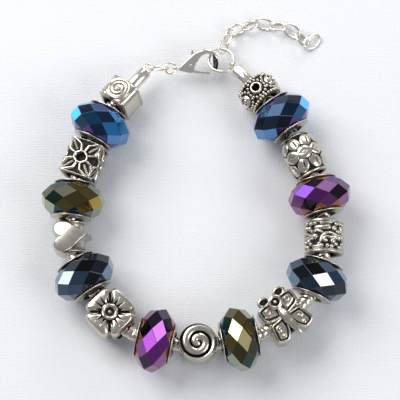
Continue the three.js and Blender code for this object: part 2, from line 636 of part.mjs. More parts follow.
// The big jump ring runs through the upright loop of the right cap, at this bearing from its middle.
const ringBearing = deg(JUMP_RING.bearing);
const ringTurn = new THREE.Matrix4().makeRotationX(deg(JUMP_RING.tilt));
const ringCentre = rightLoop.clone().sub(new THREE.Vector3(
  JUMP_RING.radius * Math.cos(ringBearing), JUMP_RING.radius * Math.sin(ringBearing), 0).applyMatrix4(ringTurn));
const ringFrame = ringTurn.clone().setPosition(ringCentre);

// The clasp: X from its eye to the end of its hook, Y towards the lever's tab, Z out of its plane.
// The ring's near wire crosses the clasp's plane here.
const CROSSING = [6.55, 1.75];
const HOOK_OUTLINE = [
  [0.0, 0.42], [1.55, 1.95], [3.05, 3.3], [4.2, 4.05], [5.4, 4.42], [6.6, 4.38], [7.7, 3.9], [8.5, 3.0],
  [8.85, 1.9], [8.8, 0.8], [8.45, -0.15], [7.95, -0.85], [7.6, -0.55], [8.05, 0.2], [8.2, 1.0], [8.1, 1.95],
  [7.6, 2.85], [6.85, 3.4], [6.0, 3.55], [5.2, 3.3], [4.5, 2.7], [4.05, 1.9], [3.75, 0.7], [3.6, -0.35],
  [3.2, -0.75], [2.4, -1.0], [1.3, -0.75], [0.0, -0.42],
];
const ROOT_END = 4.3;
const PIN_AT = [2.6, 0.75];
const GATE = { start: [3.3, -0.75], end: [7.05, -1.1] };
const TAB_AT = [3.0, 4.4];
const claspRoll = new THREE.Matrix4().makeRotationX(deg(CLASP.roll));
const claspOrigin = ringCentre.clone().sub(new THREE.Vector3(JUMP_RING.radius, 0, 0).applyMatrix4(ringTurn))
  .sub(new THREE.Vector3(...CROSSING, 0).applyMatrix4(claspRoll));
const claspFrame = claspRoll.clone().setPosition(claspOrigin);

function bevelledPlate(shape, height, bevel) {
  return toSolid(new THREE.ExtrudeGeometry(shape, {
    depth: height - 2 * bevel, bevelThickness: bevel, bevelSize: bevel, bevelOffset: -bevel, bevelSegments: 1,
    curveSegments: 1,
  }).translate(0, 0, bevel - height / 2));
}

// A straight bar of a lever, from one point to another, with square ends.
function leverBar([x0, y0], [x1, y1], width, height) {
  const length = Math.hypot(x1 - x0, y1 - y0);
  const angle = THREE.MathUtils.radToDeg(Math.atan2(y1 - y0, x1 - x0));
  return toSolid(new THREE.BoxGeometry(length, width, height)).rotate([0, 0, angle])
    .translate([(x0 + x1) / 2, (y0 + y1) / 2, 0]);
}

const CLASP_OPENING = 20;

function leverSolid(grow) {
  const height = LEVER.thickness + 2 * grow;
  const width = LEVER.width + 2 * grow;
  const boss = barAlongZ(LEVER.boss + grow, height).translate([...PIN_AT, -height / 2]);
  return join(
    boss,
    leverBar(PIN_AT, GATE.start, width, height),
    leverBar([GATE.start[0] - width / 2, GATE.start[1]], GATE.end, width, height),
    leverBar(PIN_AT, TAB_AT, width, height),
  );
}

// Turns a solid about the lever's pin.
function aboutPin(solid, angle) {
  const [x, y] = PIN_AT;
  return solid.translate([-x, -y, 0]).rotate([0, 0, angle]).translate([x, y, 0]);
}

function claspBody() {
  const outline = polygonShape(HOOK_OUTLINE);
  const hook = bevelledPlate(outline, CLASP.hookThickness, CLASP.bevel);
  const root = bevelledPlate(outline, CLASP.thickness, CLASP.bevel)
    .trimByPlane([-1, 0, 0], -ROOT_END);
  const swept = join(...[-2, 10, CLASP_OPENING + 2].map((angle) => aboutPin(leverSolid(CLEARANCE), angle)));
  const pin = barAlongZ(LEVER.pin, CLASP.thickness - CLEARANCE).translate([...PIN_AT, (CLEARANCE - CLASP.thickness) / 2]);
  const eye = wireRing(CLASP.eye, CLASP.eyeWire).rotate([90, 0, 0]).rotate([-CLASP.roll, 0, 0])
    .translate([-CLASP.eye, 0, 0]);
  return join(join(hook, root).subtract(swept), pin, eye);
}

function claspLever() {
  const bore = barAlongZ(LEVER.pin + CLEARANCE, CLASP.thickness).translate([...PIN_AT, -CLASP.thickness / 2]);
  const tab = leverBar([TAB_AT[0], TAB_AT[1] - LEVER.width / 2], TAB_AT, LEVER.width, LEVER.tab);
  return join(leverSolid(0), tab).subtract(bore);
}

// The small ring passes through the clasp's eye, and the oval link through it and the left cap's loop.
const eyeCentre = inFrame(claspFrame, -CLASP.eye);
const linkEast = eyeCentre.clone();
linkEast.x -= CLASP.eye + (CLASP.eyeWire + OVAL_LINK.wire) / 2 + LINK_ROOM;
const linkRun = linkEast.clone().sub(leftLoop);
const linkAlong = linkRun.clone().normalize();

function smallLinks() {
  const west = linkEast.clone().addScaledVector(linkAlong, -(OVAL_LINK.wire + SMALL_RING.wire) / 2 - LINK_ROOM);
  const across = eyeCentre.clone().sub(west);
  const ring = wireRing(across.length() / 2, SMALL_RING.wire, SMALL_RING.sides, SMALL_RING.steps);
  const ringMiddle = eyeCentre.clone().add(west).multiplyScalar(0.5);
  addPiece('small_ring', ring, 'bright', frameFrom(ringMiddle, across.normalize()));
  const link = ovalLink(linkRun.length() + OVAL_LINK.wire, OVAL_LINK.width, OVAL_LINK.wire).rotate([90, 0, 0]);
  const linkMiddle = leftLoop.clone().add(linkEast).multiplyScalar(0.5);
  addPiece('oval_link', link, 'bright', frameFrom(linkMiddle, linkAlong));
}

// Each link hangs from the last one's end, or lies on the table where that is higher.
function extensionChain() {
  const [long, wide] = [(LINK.length - LINK.wire) / 2, (LINK.width - LINK.wire) / 2];
  const reach = long - (LINK.wire + LINK_ROOM) / 2;
  const joint = inFrame(ringFrame, 0, JUMP_RING.radius, 0);
  EXTENSION.forEach(({ heading, roll, pitch }, i) => {
    const hold = i === 0 ? long - (LINK.wire + JUMP_RING.wire) / 2 - LINK_ROOM : reach;
    const turn = new THREE.Matrix4().makeRotationZ(deg(heading))
      .multiply(new THREE.Matrix4().makeRotationY(deg(-pitch)))
      .multiply(new THREE.Matrix4().makeRotationX(deg(roll)));
    const along = new THREE.Vector3(1, 0, 0).transformDirection(turn);
    const at = joint.clone().addScaledVector(along, hold);
    const depth = Math.hypot(long * Math.sin(deg(pitch)), wide * Math.sin(deg(roll)) * Math.cos(deg(pitch)));
    at.z = Math.max(at.z, depth + LINK.wire / 2);
    joint.copy(at).addScaledVector(along, reach);
    joint.z = i + 1 < EXTENSION.length && EXTENSION[i + 1].pitch === 0 ? 0 : joint.z;
    addPiece(`extension_link_${i + 1}`, ovalLink(LINK.length, LINK.width, LINK.wire), 'bright', turn.setPosition(at));
  });
}

snakeChain();
threadBeads();
endCap('end_cap_left', leftCap, false);
endCap('end_cap_right', rightCap, true);
addPiece('jump_ring', wireRing(JUMP_RING.radius, JUMP_RING.wire, JUMP_RING.sides, JUMP_RING.steps), 'bright', ringFrame);
addPiece('clasp_body', claspBody(), 'bright', claspFrame);
addPiece('clasp_lever', claspLever(), 'bright', claspFrame);
smallLinks();
extensionChain();

// The origin is on the table, under the middle of the whole bracelet.
bracelet.updateMatrixWorld(true);
const extent = new THREE.Box3().setFromObject(bracelet, true);
const middle = extent.getCenter(new THREE.Vector3());
bracelet.children.forEach((piece) => piece.position.sub(new THREE.Vector3(middle.x, middle.y, extent.min.z)));
bracelet.updateMatrixWorld(true);

export default bracelet;
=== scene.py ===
# %% [markdown]
# # A charm bracelet, closed and lying on a pale cloth
#
# The solids of the bracelet come from CAD and lie where the real pieces lie. They are plain, so that
# a physics engine can use them. Here each one gets the look of the real piece: cast silver with dark
# recesses, coated glass with flat facets, a fine snake chain and bright clasp parts.

import math

import bmesh
import bpy
import numpy as np
from mathutils import Matrix, Vector


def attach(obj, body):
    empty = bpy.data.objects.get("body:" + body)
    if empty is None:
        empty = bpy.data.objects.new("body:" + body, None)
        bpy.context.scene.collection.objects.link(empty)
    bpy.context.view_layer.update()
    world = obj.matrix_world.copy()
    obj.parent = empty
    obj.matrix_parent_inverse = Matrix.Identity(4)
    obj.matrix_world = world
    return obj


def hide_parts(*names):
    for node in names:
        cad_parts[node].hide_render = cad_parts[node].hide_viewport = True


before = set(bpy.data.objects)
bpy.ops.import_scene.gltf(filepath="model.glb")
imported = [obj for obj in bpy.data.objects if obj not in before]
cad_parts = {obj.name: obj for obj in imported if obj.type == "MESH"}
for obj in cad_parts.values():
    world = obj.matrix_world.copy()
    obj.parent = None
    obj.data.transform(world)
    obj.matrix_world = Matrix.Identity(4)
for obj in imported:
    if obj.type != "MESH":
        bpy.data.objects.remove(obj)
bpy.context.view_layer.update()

MM = 0.001
BRACELET, LEVER = "bracelet", "lever"

# %% [markdown]
# ## Where the pieces sit
#
# Every bead was threaded on a curved string. Its own X runs along the string, its Y to the inside of
# the loop and its Z up. The table gives the middle of each bead in millimetres, its heading in degrees
# and its slope, so that a piece can be modelled straight and then put in its place.

# %% The places of the beads and caps
PLACES = {
    "swirl_cube": (-16.76, 20.87, 5.22, -130.1, 7.6),
    "blue_left": (-21.24, 13.93, 6.87, -116.6, 0.0),
    "star": (-24.82, 5.92, 5.84, -111.4, 0.0),
    "green_left": (-27.02, -3.25, 6.87, -95.4, 0.0),
    "heart": (-27.24, -11.46, 5.84, -86.4, 0.0),
    "steel_left": (-24.27, -20.14, 6.87, -59.0, 0.0),
    "flower": (-18.49, -28.16, 5.84, -48.3, 0.0),
    "purple_front": (-8.80, -33.93, 6.87, -12.7, 0.0),
    "swirl_disc": (0.41, -34.65, 5.84, 1.7, 0.0),
    "green_front": (9.28, -33.70, 6.87, 11.1, 0.0),
    "butterfly": (19.17, -29.11, 5.84, 37.0, 0.0),
    "steel_right": (26.23, -20.69, 6.87, 68.4, 0.0),
    "scroll_barrel": (27.91, -11.38, 5.84, 88.8, 0.0),
    "purple_right": (27.06, -2.36, 6.87, 102.1, 0.0),
    "leaf_knot": (23.68, 7.08, 5.85, 115.4, 0.0),
    "blue_right": (18.84, 15.69, 6.87, 124.1, 0.0),
    "granulated": (14.13, 21.83, 5.26, 131.2, -8.9),
    "end_cap_left": (-14.49, 23.53, 5.26, 49.6, -7.8),
    "end_cap_right": (12.02, 24.22, 5.25, 131.6, -9.4),
}


def seat(name):
    """The matrix from a bead's own millimetres to the bracelet's metres."""
    x, y, z, heading, slope = PLACES[name]
    turn = Matrix.Rotation(math.radians(heading), 4, "Z") @ Matrix.Rotation(math.radians(-slope), 4, "Y")
    return Matrix.Scale(MM, 4) @ Matrix.Translation((x, y, z)) @ turn


print("places:", len(PLACES))

# %% [markdown]
# ## Shader sums written as plain Python
#
# A material in Blender is a graph of nodes. Sums of values are easier to read as expressions, so one
# small class wraps a socket and adds a Math node for each operator. Every other node comes from one
# method that takes its type, its settings and its inputs.

# %% A value in a shader, and a material that makes its nodes
class Value:
    """A shader value that can be added, multiplied and subtracted."""

    def __init__(self, finish, socket):
        self.finish, self.socket = finish, socket

    def math(self, operation, *others):
        inputs = dict(enumerate([self, *others]))
        return self.finish.node("ShaderNodeMath", {"operation": operation}, inputs)[0]

    def __add__(self, other):
        return self.math("ADD", other)

    def __sub__(self, other):
        return self.math("SUBTRACT", other)

    def __rsub__(self, other):
        return self.finish.node("ShaderNodeMath", {"operation": "SUBTRACT"}, {0: other, 1: self})[0]

    def __mul__(self, other):
        return self.math("MULTIPLY", other)

    __radd__, __rmul__ = __add__, __mul__

    def between(self, low, high):
        """0 below low, 1 above high, and smooth from one to the other."""
        return self.finish.node("ShaderNodeMapRange", {"interpolation_type": "SMOOTHSTEP"},
                                {"Value": self, "From Min": low, "From Max": high})[0]


class Finish:
    """One material and the nodes in it."""

    def __init__(self, name):
        self.material = bpy.data.materials.new(name)
        self.material.use_nodes = True
        self.tree = self.material.node_tree
        self.tree.nodes.clear()

    def node(self, kind, settings=None, inputs=None):
        """Adds a node, and returns its visible outputs as Values in order."""
        made = self.tree.nodes.new(kind)
        for key, value in (settings or {}).items():
            setattr(made, key, value)
        for key, value in (inputs or {}).items():
            if isinstance(value, Value):
                self.tree.links.new(value.socket, made.inputs[key])
            else:
                made.inputs[key].default_value = value
        return [Value(self, socket) for socket in made.outputs if socket.enabled]

    def place(self):
        """The object's own coordinates, so that a pattern moves with the piece."""
        return self.node("ShaderNodeTexCoord")[3]

    def noise(self, scale, detail):
        """A cloudy pattern between 0 and 1. A larger scale makes it finer."""
        inputs = {"Vector": self.place(), "Scale": scale, "Detail": detail}
        return self.node("ShaderNodeTexNoise", None, inputs)[0]

    def relief(self, height, strength, distance):
        """A small relief that only the light sees."""
        inputs = {"Strength": strength, "Distance": distance, "Height": height}
        return self.node("ShaderNodeBump", None, inputs)[0]

    def mix(self, share, first, second):
        """A colour between two others."""
        inputs = {0: share, 6: first, 7: second}
        return self.node("ShaderNodeMix", {"data_type": "RGBA"}, inputs)[0]

    def surface(self, **inputs):
        """Ends the material in one Principled shader."""
        names = {key.replace("_", " "): value for key, value in inputs.items()}
        shader = self.node("ShaderNodeBsdfPrincipled", None, names)[0]
        self.node("ShaderNodeOutputMaterial", None, {"Surface": shader})
        return self.material


# %% [markdown]
# ## Antique silver
#
# The charms are cast, blackened all over and then polished, so black stays where the cloth could not
# reach. Each charm's mesh carries a value called patina: 0 on the high parts and 1 in the recesses.
# The material only has to turn it into colour and gloss. The high parts stay warm and a little worn.

# %% The antique and bright silver
# Each metal's duller and cleaner patches, and the black in the recesses.
WORN_SILVER, CLEAN_SILVER = (0.50, 0.455, 0.385, 1), (0.67, 0.62, 0.535, 1)
WORN_PLATING, CLEAN_PLATING = (0.80, 0.73, 0.62, 1), (0.90, 0.85, 0.76, 1)
BLACKENED = (0.007, 0.006, 0.005, 1)


def antique_silver():
    finish = Finish("antique_silver")
    patina = finish.node("ShaderNodeAttribute", {"attribute_name": "patina"})[2]
    cloud, grain = finish.noise(900.0, 3.0), finish.noise(5200.0, 2.0)
    dark = (patina + (cloud - 0.5) * 0.3).between(0.2, 0.85)
    colour = finish.mix(dark, finish.mix(cloud, WORN_SILVER, CLEAN_SILVER), BLACKENED)
    return finish.surface(Base_Color=colour, Metallic=1 - dark * 0.5,
                          Roughness=0.21 + cloud * 0.08 + dark * 0.35,
                          Normal=finish.relief(grain, 0.12, 0.00004))


def bright_silver():
    finish = Finish("bright_silver")
    cloud = finish.noise(700.0, 2.0)
    colour = finish.mix(cloud, WORN_PLATING, CLEAN_PLATING)
    return finish.surface(Base_Color=colour, Metallic=1.0, Roughness=0.16 + cloud * 0.08)


ANTIQUE, BRIGHT = antique_silver(), bright_silver()
print("metals:", ANTIQUE.name, BRIGHT.name)

# %% [markdown]
# ## Coated glass
#
# The rondelles are glass with a dark metal coating. Each flat facet throws back one colour, which
# changes from facet to facet. The pale tone of the lower facets and the gold or violet beside the
# silver plates are painted reflections of the cloth and the plates. The mesh of each bead gives every
# facet its own colour, the coating's and the painted light together, and the shader makes it a hard,
# mirror-like surface. A few facets catch the lamp. A mirror would need the lamp in just the right
# place for each of them, so these highlights are painted: the mesh marks them, and they glow a little
# in their colour.

# %% The coated glass
def coated_glass():
    finish = Finish("coated_glass")
    tint_and_painted_light = finish.node("ShaderNodeAttribute", {"attribute_name": "tint_and_painted_light"})[0]
    painted_glow = finish.node("ShaderNodeAttribute", {"attribute_name": "painted_glow"})[2]
    # The marked facets glow a little in their colour: painted highlights, with no lamp behind them.
    glow = finish.mix(painted_glow, (0, 0, 0, 1), tint_and_painted_light)
    return finish.surface(Base_Color=tint_and_painted_light, Metallic=0.7, Roughness=0.04, Coat_Weight=0.12,
                          Coat_Roughness=0.02, Emission_Color=glow, Emission_Strength=0.75)


GLASS = coated_glass()
print("glass:", GLASS.name)

# %% [markdown]
# ## A casting
#
# Most pieces here are one body of metal with fine relief on it. A flat grid is made first, a function
# then says where each of its points goes, and the edges that meet are welded. The same function
# gives the patina. Balls, rings and wires are added to the same mesh where the relief needs them.

# %% From a mesh under construction to an object
WELD = 0.0015


def to_data(mesh, name):
    """The finished mesh data of a bmesh, which is then freed."""
    data = bpy.data.meshes.new(name)
    mesh.to_mesh(data)
    mesh.free()
    return data


def add_object(name, data):
    made = bpy.data.objects.new(name, data)
    bpy.context.scene.collection.objects.link(made)
    return made


def both_ends(profile):
    """A profile of (x, radius) points for one end, with the other end after it."""
    return profile + [(-x, radius) for x, radius in reversed(profile)]


print("points closer than", WELD, "mm are welded")

# %% A mesh under construction, in its bead's own millimetres
class Casting:
    """Collects sheets, balls and rings in one mesh."""

    def __init__(self, name):
        self.name = name
        self.mesh = bmesh.new()
        self.patina = self.mesh.verts.layers.float.new("patina")

    def sheet(self, columns, rows, shape):
        """A grid whose points go where shape(u, v) says, with u and v from 0 to 1."""
        made = bmesh.ops.create_grid(self.mesh, x_segments=columns, y_segments=rows, size=0.5)["verts"]
        flat = np.array([vertex.co for vertex in made])
        points, patina = shape(flat[:, 0] + 0.5, flat[:, 1] + 0.5)
        for vertex, point, dark in zip(made, np.stack(points, 1).tolist(), patina.tolist()):
            vertex.co = point
            vertex[self.patina] = dark
        bmesh.ops.remove_doubles(self.mesh, verts=made, dist=WELD)

    def _dress(self, made, place, patina):
        bmesh.ops.transform(self.mesh, matrix=place, verts=made)
        for vertex in made:
            vertex[self.patina] = patina
        return made

    def lump(self, place, patina=0.0, fine=3):
        """A ball of radius 1 that the matrix place moves and stretches."""
        made = bmesh.ops.create_icosphere(self.mesh, subdivisions=fine, radius=1)["verts"]
        return self._dress(made, place, patina)

    def block(self, place, patina=0.0):
        """A cube of side 1 that the matrix place moves and stretches."""
        return self._dress(bmesh.ops.create_cube(self.mesh, size=1.0)["verts"], place, patina)

    def ball(self, place, radius, patina=0.0, squash=1.0, fine=2):
        size = Matrix.Diagonal((radius, radius, radius * squash, 1))
        return self.lump(Matrix.Translation(place) @ size, patina, fine)

    def turned(self, profile, place=None, steps=48, patina=None):
        """A closed profile of (x, radius) points, spun about X."""
        corners = [self.mesh.verts.new((x, 0, radius)) for x, radius in profile]
        for corner, dark in zip(corners, patina or [0.0] * len(corners)):
            corner[self.patina] = dark
        edges = [self.mesh.edges.new(pair) for pair in zip(corners, corners[1:] + corners[:1])]
        before = set(self.mesh.verts) - set(corners)
        bmesh.ops.spin(self.mesh, geom=corners + edges, axis=(1, 0, 0), cent=(0, 0, 0),
                       angle=math.tau, steps=steps, use_merge=True)
        made = [vertex for vertex in self.mesh.verts if vertex not in before]
        if place is not None:
            bmesh.ops.transform(self.mesh, matrix=place, verts=made)

    def ring(self, place, radius, wire, steps=48, sides=12, patina=0.0):
        """A round wire ring about its own Z."""
        turns = [math.tau * i / sides for i in range(sides)]
        circle = [(wire / 2 * math.cos(turn), radius + wire / 2 * math.sin(turn)) for turn in turns]
        self.turned(circle, place @ Matrix.Rotation(math.pi / 2, 4, "Y"), steps, [patina] * sides)

    def join(self, mesh):
        """Takes in another bmesh, which is then freed."""
        data = to_data(mesh, "part")
        self.mesh.from_mesh(data)
        bpy.data.meshes.remove(data)

    def finish(self, seated, material, node, slot, body=BRACELET, crease=None):
        """Makes the object. Edges steeper than crease degrees stay sharp."""
        bmesh.ops.recalc_face_normals(self.mesh, faces=self.mesh.faces)
        bmesh.ops.transform(self.mesh, matrix=seated, verts=self.mesh.verts)
        for face in self.mesh.faces:
            face.smooth = True
        data = to_data(self.mesh, self.name)
        if crease:
            data.set_sharp_from_angle(angle=math.radians(crease))
        data.materials.append(material)
        piece = add_object(self.name, data)
        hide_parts(node)
        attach(piece, body)
        print(f"{self.name}: {len(data.polygons)} faces")
        return piece

    def charm(self, node):
        """Makes an antique silver bead in its seat."""
        return self.finish(seat(node), ANTIQUE, node, "antique")


# %% [markdown]
# ## Relief from distances
#
# Raised wires, rings and granules are all round bumps: their height depends only on how far a point
# is from a line, a circle or a dot. These helpers give such distances and heights for all the points
# of a grid at once.

# %% Heights of wires, dots, spirals and lines
FAR = 9.0


def bump(distance, width):
    """A round ridge over a line: 1 on the line and 0 at half the width."""
    return np.sqrt(np.clip(1 - (2 * distance / width) ** 2, 0, 1))


def rise(value, low, high):
    """0 below low, 1 above high, and smooth between."""
    share = np.clip((value - low) / (high - low), 0, 1)
    return share * share * (3 - 2 * share)


def off_line(x, y, points):
    """The distance from each point to a line through a list of points."""
    nearest = np.full(np.shape(x), 10 * FAR)
    for (x0, y0), (x1, y1) in zip(points, points[1:]):
        run_x, run_y = x1 - x0, y1 - y0
        share = np.clip(((x - x0) * run_x + (y - y0) * run_y) / (run_x**2 + run_y**2), 0, 1)
        nearest = np.minimum(nearest, np.hypot(x - x0 - share * run_x, y - y0 - share * run_y))
    return nearest


def off_spiral(x, y, pitch, turn=0.0, hand=1):
    """The distance to a spiral whose turns are one pitch apart."""
    lap = hand * np.arctan2(y, x) / math.tau + turn
    place = np.hypot(x, y) / pitch - lap
    return np.abs(place - np.rint(place)) * pitch


def hook(x, y, reach, start, sweep, steps=14, eye=0.12):
    """The points of a curl that unwinds from its eye at (x, y), where its radius is a share of reach."""
    curl = []
    for share in (i / steps for i in range(steps + 1)):
        radius, turn = reach * (eye + (1 - eye) * share), math.radians(start + sweep * share)
        curl.append((x + radius * math.cos(turn), y + radius * math.sin(turn)))
    return curl


print("bump at a quarter of its width:", round(float(bump(np.array(0.25), 1.0)), 3))

# %% [markdown]
# ## The bore of a bead
#
# A big-hole bead is a sleeve: its outside carries the relief, its two ends lead in to the hole, and
# the hole's wall closes it. One grid does all of this. Its rows run from the rim of the hole over the
# first end, along the outside and back over the other end, and its last row is welded to its first.

# %% A bead round the string
HOLE = 2.5
END_ROWS = 5


def around(bead, length, columns, rows, outline, relief, fillet=0.35, roll=0.0):
    """Adds a sleeve along X. outline(x, angle) is its radius and relief(x, angle, radius) gives
    the height on it and the patina."""
    half = length / 2
    last = rows + 2 * END_ROWS
    end, climb = np.full(END_ROWS, half), np.linspace(0, 1, END_ROWS + 1)
    along = np.concatenate([-end, np.linspace(-half, half, rows + 1), end])
    out = np.concatenate([climb[:-1], np.ones(rows + 1), np.linspace(1, 0, END_ROWS + 1)[1:]])

    def shape(u, v):
        row = np.rint(v * last).astype(int)
        x, share = along[row], out[row]
        angle = u * math.tau
        radius = outline(x, angle)
        height, patina = relief(x, angle, radius)
        near_end = np.clip((np.abs(x) - (half - fillet)) / fillet, 0, 1)
        radius = radius + height - fillet * (1 - np.sqrt(1 - near_end**2))
        radius = HOLE + (radius - HOLE) * share
        patina = np.where(share < 1, 0.35 + 0.5 * (1 - share), patina)
        turn = angle + math.radians(roll)
        return (x, -radius * np.sin(turn), radius * np.cos(turn)), patina

    bead.sheet(columns, last, shape)
    rims = {vertex for vertex in bead.mesh.verts if abs(math.hypot(vertex.co.y, vertex.co.z) - HOLE) < 0.01}
    edges = [edge for edge in bead.mesh.edges if edge.is_boundary and set(edge.verts) <= rims]
    bmesh.ops.bridge_loops(bead.mesh, edges=edges)


def apart(angle, centre):
    """The angle from a centre line, between -pi and pi."""
    return (angle - math.radians(centre) + math.pi) % math.tau - math.pi


def drum(radius):
    """The outline of a round bar."""
    return lambda x, _: radius + 0 * x


def square(width, sharpness):
    """The outline of a rounded square bar."""
    def outline(_, angle):
        corner = np.abs(np.cos(angle)) ** sharpness + np.abs(np.sin(angle)) ** sharpness
        return width / 2 * corner ** (-1 / sharpness)
    return outline


def on_faces(angle, radius, count=4):
    """How far a point is across the nearest of the faces round a bead."""
    nearest = np.rint(angle / (math.tau / count)) * (math.tau / count)
    return radius * np.sin(angle - nearest)


# %% [markdown]
# ## The cube with a coil
#
# A short square bead. Two opposite faces have a coil inside a plain rim, with black between the turns,
# and the two others are plain with a low frame. It has rolled a little on the chain, so its top face
# looks outwards. Its corners could be boxes with a bevel, but one radius for each angle also gives
# the soft square of a cast bead, and the relief then lies on the same grid.

# %% The coiled cube
CUBE = {"length": 5.8, "width": 7.4, "roll": 18, "pitch": 0.9, "coil": 2.4, "wire": 0.88, "frame": 2.35}


def coiled_face(x, angle, radius):
    across = on_faces(angle, radius)
    middle = np.hypot(x, across)
    coiled = np.cos(2 * angle) > 0
    inside = rise(-middle, -CUBE["coil"], -CUBE["coil"] + 0.2)
    wire = bump(off_spiral(x, across, CUBE["pitch"], 0.35), CUBE["wire"])
    rim = bump(middle - CUBE["coil"] - 0.1, 0.6)
    coil = 0.34 * np.maximum(wire * inside, rim) + 0.2 * bump(middle, 0.9)
    lines = 0.95 * inside * rise(-wire, -0.7, -0.3) * rise(middle, 0.25, 0.5)
    frame_height = 0.3 * bump(np.abs(x) - CUBE["frame"], 0.7)
    frame_dark = 0.3 * bump(np.abs(x) - CUBE["frame"] + 0.4, 0.3)
    return np.where(coiled, coil, frame_height), np.where(coiled, lines, frame_dark)


cube = Casting("coiled_cube")
around(cube, CUBE["length"], columns=300, rows=90, outline=square(CUBE["width"], 4.2), relief=coiled_face,
       fillet=0.7, roll=CUBE["roll"])
cube.charm("swirl_cube")

# %% [markdown]
# ## The star bead
#
# Each face of this square bead has a star of four petals drawn in raised wire, which run to the
# corners from a round pit. A ribbed vein lies in each petal, and all that lies between is black. The
# petals could be wires laid on a cube, but they would end in the air where the bead's corners bend.
# Here a petal is a distance from its outline, so it follows the surface.

# %% The star bead
STAR = {"length": 8.0, "width": 6.8, "wire": 0.74, "from": 1.0, "petal": 4.2, "broad": 1.28, "rim": 1.28}
# How broad a petal is, as a share of its greatest breadth, from its root to its tip.
PETAL_AT, PETAL_BREADTH = (0, 0.12, 0.38, 0.7, 1), (0, 0.6, 1, 0.62, 0)
DIAGONAL = math.radians(41)


def star_face(x, angle, radius):
    across = on_faces(angle, radius)
    middle = np.hypot(x, across)
    lines = np.full(np.shape(x), FAR)
    veins = np.zeros(np.shape(x))
    for turn in (DIAGONAL, math.pi - DIAGONAL):
        along = np.abs(x * math.cos(turn) + across * math.sin(turn))
        aside = np.abs(across * math.cos(turn) - x * math.sin(turn))
        share = np.clip((along - STAR["from"]) / STAR["petal"], 0, 1)
        broad = STAR["broad"] * np.interp(share, PETAL_AT, PETAL_BREADTH)
        lines = np.minimum(lines, np.hypot(aside - broad, np.clip(STAR["from"] - along, 0, FAR)))
        ribbed = 0.5 + 0.12 * np.sin(along * 13 + aside * 6)
        veins = np.maximum(veins, ribbed * bump(aside, 0.7) * (aside < broad - 0.25) * rise(along, 1.6, 2.0))
    rim = bump(middle - STAR["rim"], 0.62)
    ends = rise(np.abs(x), STAR["length"] / 2 - 0.28, STAR["length"] / 2 - 0.15)
    sides = 0.6 * bump(np.abs(across) - 3.2, 0.3)
    wire = np.maximum.reduce([bump(lines, STAR["wire"]), rim, ends, sides, veins])
    pit = rise(-middle, -1.05, -0.85)
    height = 0.62 * wire * (1 - pit) - 0.8 * pit
    return height, np.clip(1.08 - 1.3 * wire + pit, 0, 1)


star = Casting("star_bead")
around(star, STAR["length"], columns=320, rows=120, outline=square(STAR["width"], 7), relief=star_face,
       fillet=0.15, roll=8)
star.charm("star")

# %% [markdown]
# ## The barrel with scrolls
#
# A straight barrel between two plain bands. Big hooked scrolls, short bars and granules stand on it,
# and the ground between them is black. The pattern is drawn once on a flat quarter, in short lists of
# points, and repeats four times round the barrel.

# %% The scroll barrel
SCROLL = {"length": 7.3, "radius": 3.7, "wire": 0.64, "relief": 0.6}
# Each quarter of the barrel has the same wires, bars and domes: (x, aside) in millimetres. The bars
# and the domes also have a width.
SCROLL_WIRES = [hook(-1.1, 0.2, 0.95, 150, 260), [(-0.45, 0.9), (-0.3, 1.7), (-0.75, 2.9)],
                [(-1.3, -1.0), (-0.3, -0.75), (0.45, 0.1), (0.6, 1.2), (0.0, 2.6)],
                [(0.9, -2.6), (1.05, -1.5), (0.55, -0.6)]]
SCROLL_BARS = [([(1.7, -1.8), (1.8, 0.7)], 1.2), ([(-2.5, -2.5), (-2.3, -0.7)], 0.85),
               ([(2.75, -0.9), (2.8, 1.2)], 0.7)]
SCROLL_DOMES = [(-1.9, -1.3, 0.9), (-0.2, -2.3, 1.3), (-1.2, 1.7, 1.15), (-2.3, 0.45, 0.85),
                (-2.45, 1.4, 0.85), (-1.9, 2.45, 0.8), (1.6, 2.0, 1.1), (2.6, 2.5, 0.85),
                (0.9, -2.9, 0.85), (2.7, -2.3, 0.8), (-1.2, 0.2, 0.75)]


def scroll_ground(x, angle, radius):
    top = np.maximum(rise(np.abs(x), 3.15, 3.25), 0.6 * bump(np.abs(x) - 3.0, 0.25))
    for centre in (0, 90, 180, 270):
        side = radius * apart(angle, centre)
        for line in SCROLL_WIRES:
            top = np.maximum(top, 0.95 * bump(off_line(x, side, line), SCROLL["wire"]))
        for line, width in SCROLL_BARS:
            top = np.maximum(top, bump(off_line(x, side, line), width))
        for place, aside, width in SCROLL_DOMES:
            top = np.maximum(top, bump(np.hypot(x - place, side - aside), 1.1 * width))
    return SCROLL["relief"] * top, np.clip(0.95 - 1.8 * top, 0, 1)


scroll = Casting("scroll_bead")
around(scroll, SCROLL["length"], columns=320, rows=110, outline=drum(SCROLL["radius"]), relief=scroll_ground,
       fillet=0.25)
scroll.charm("scroll_barrel")

# %% [markdown]
# ## The egg with crossing bands
#
# An egg-shaped bead. Two raised bands wave round its middle and cross each other, and a row of slotted
# leaves bulges on either side of them, with black in the gaps. Bands of wire would have to bend with
# the egg. A band here is a cosine round the bead, so the grid bends it, and the crossings join.

# %% The leaf knot
KNOT = {"length": 9.5, "radius": 3.85, "end": 2.75, "waves": 4, "wave": 0.75, "leaf": 2.5, "leaves": 8}
# The egg's fullest place, and the lean of its bands against its own round.
FULLEST, BAND_LEAN = -0.3, 0.77


def egg(x, _):
    share = np.clip(np.abs(x - FULLEST) / (KNOT["length"] / 2 - FULLEST), 0, 1)
    return KNOT["end"] + (KNOT["radius"] - KNOT["end"]) * (1 - share**2.4)


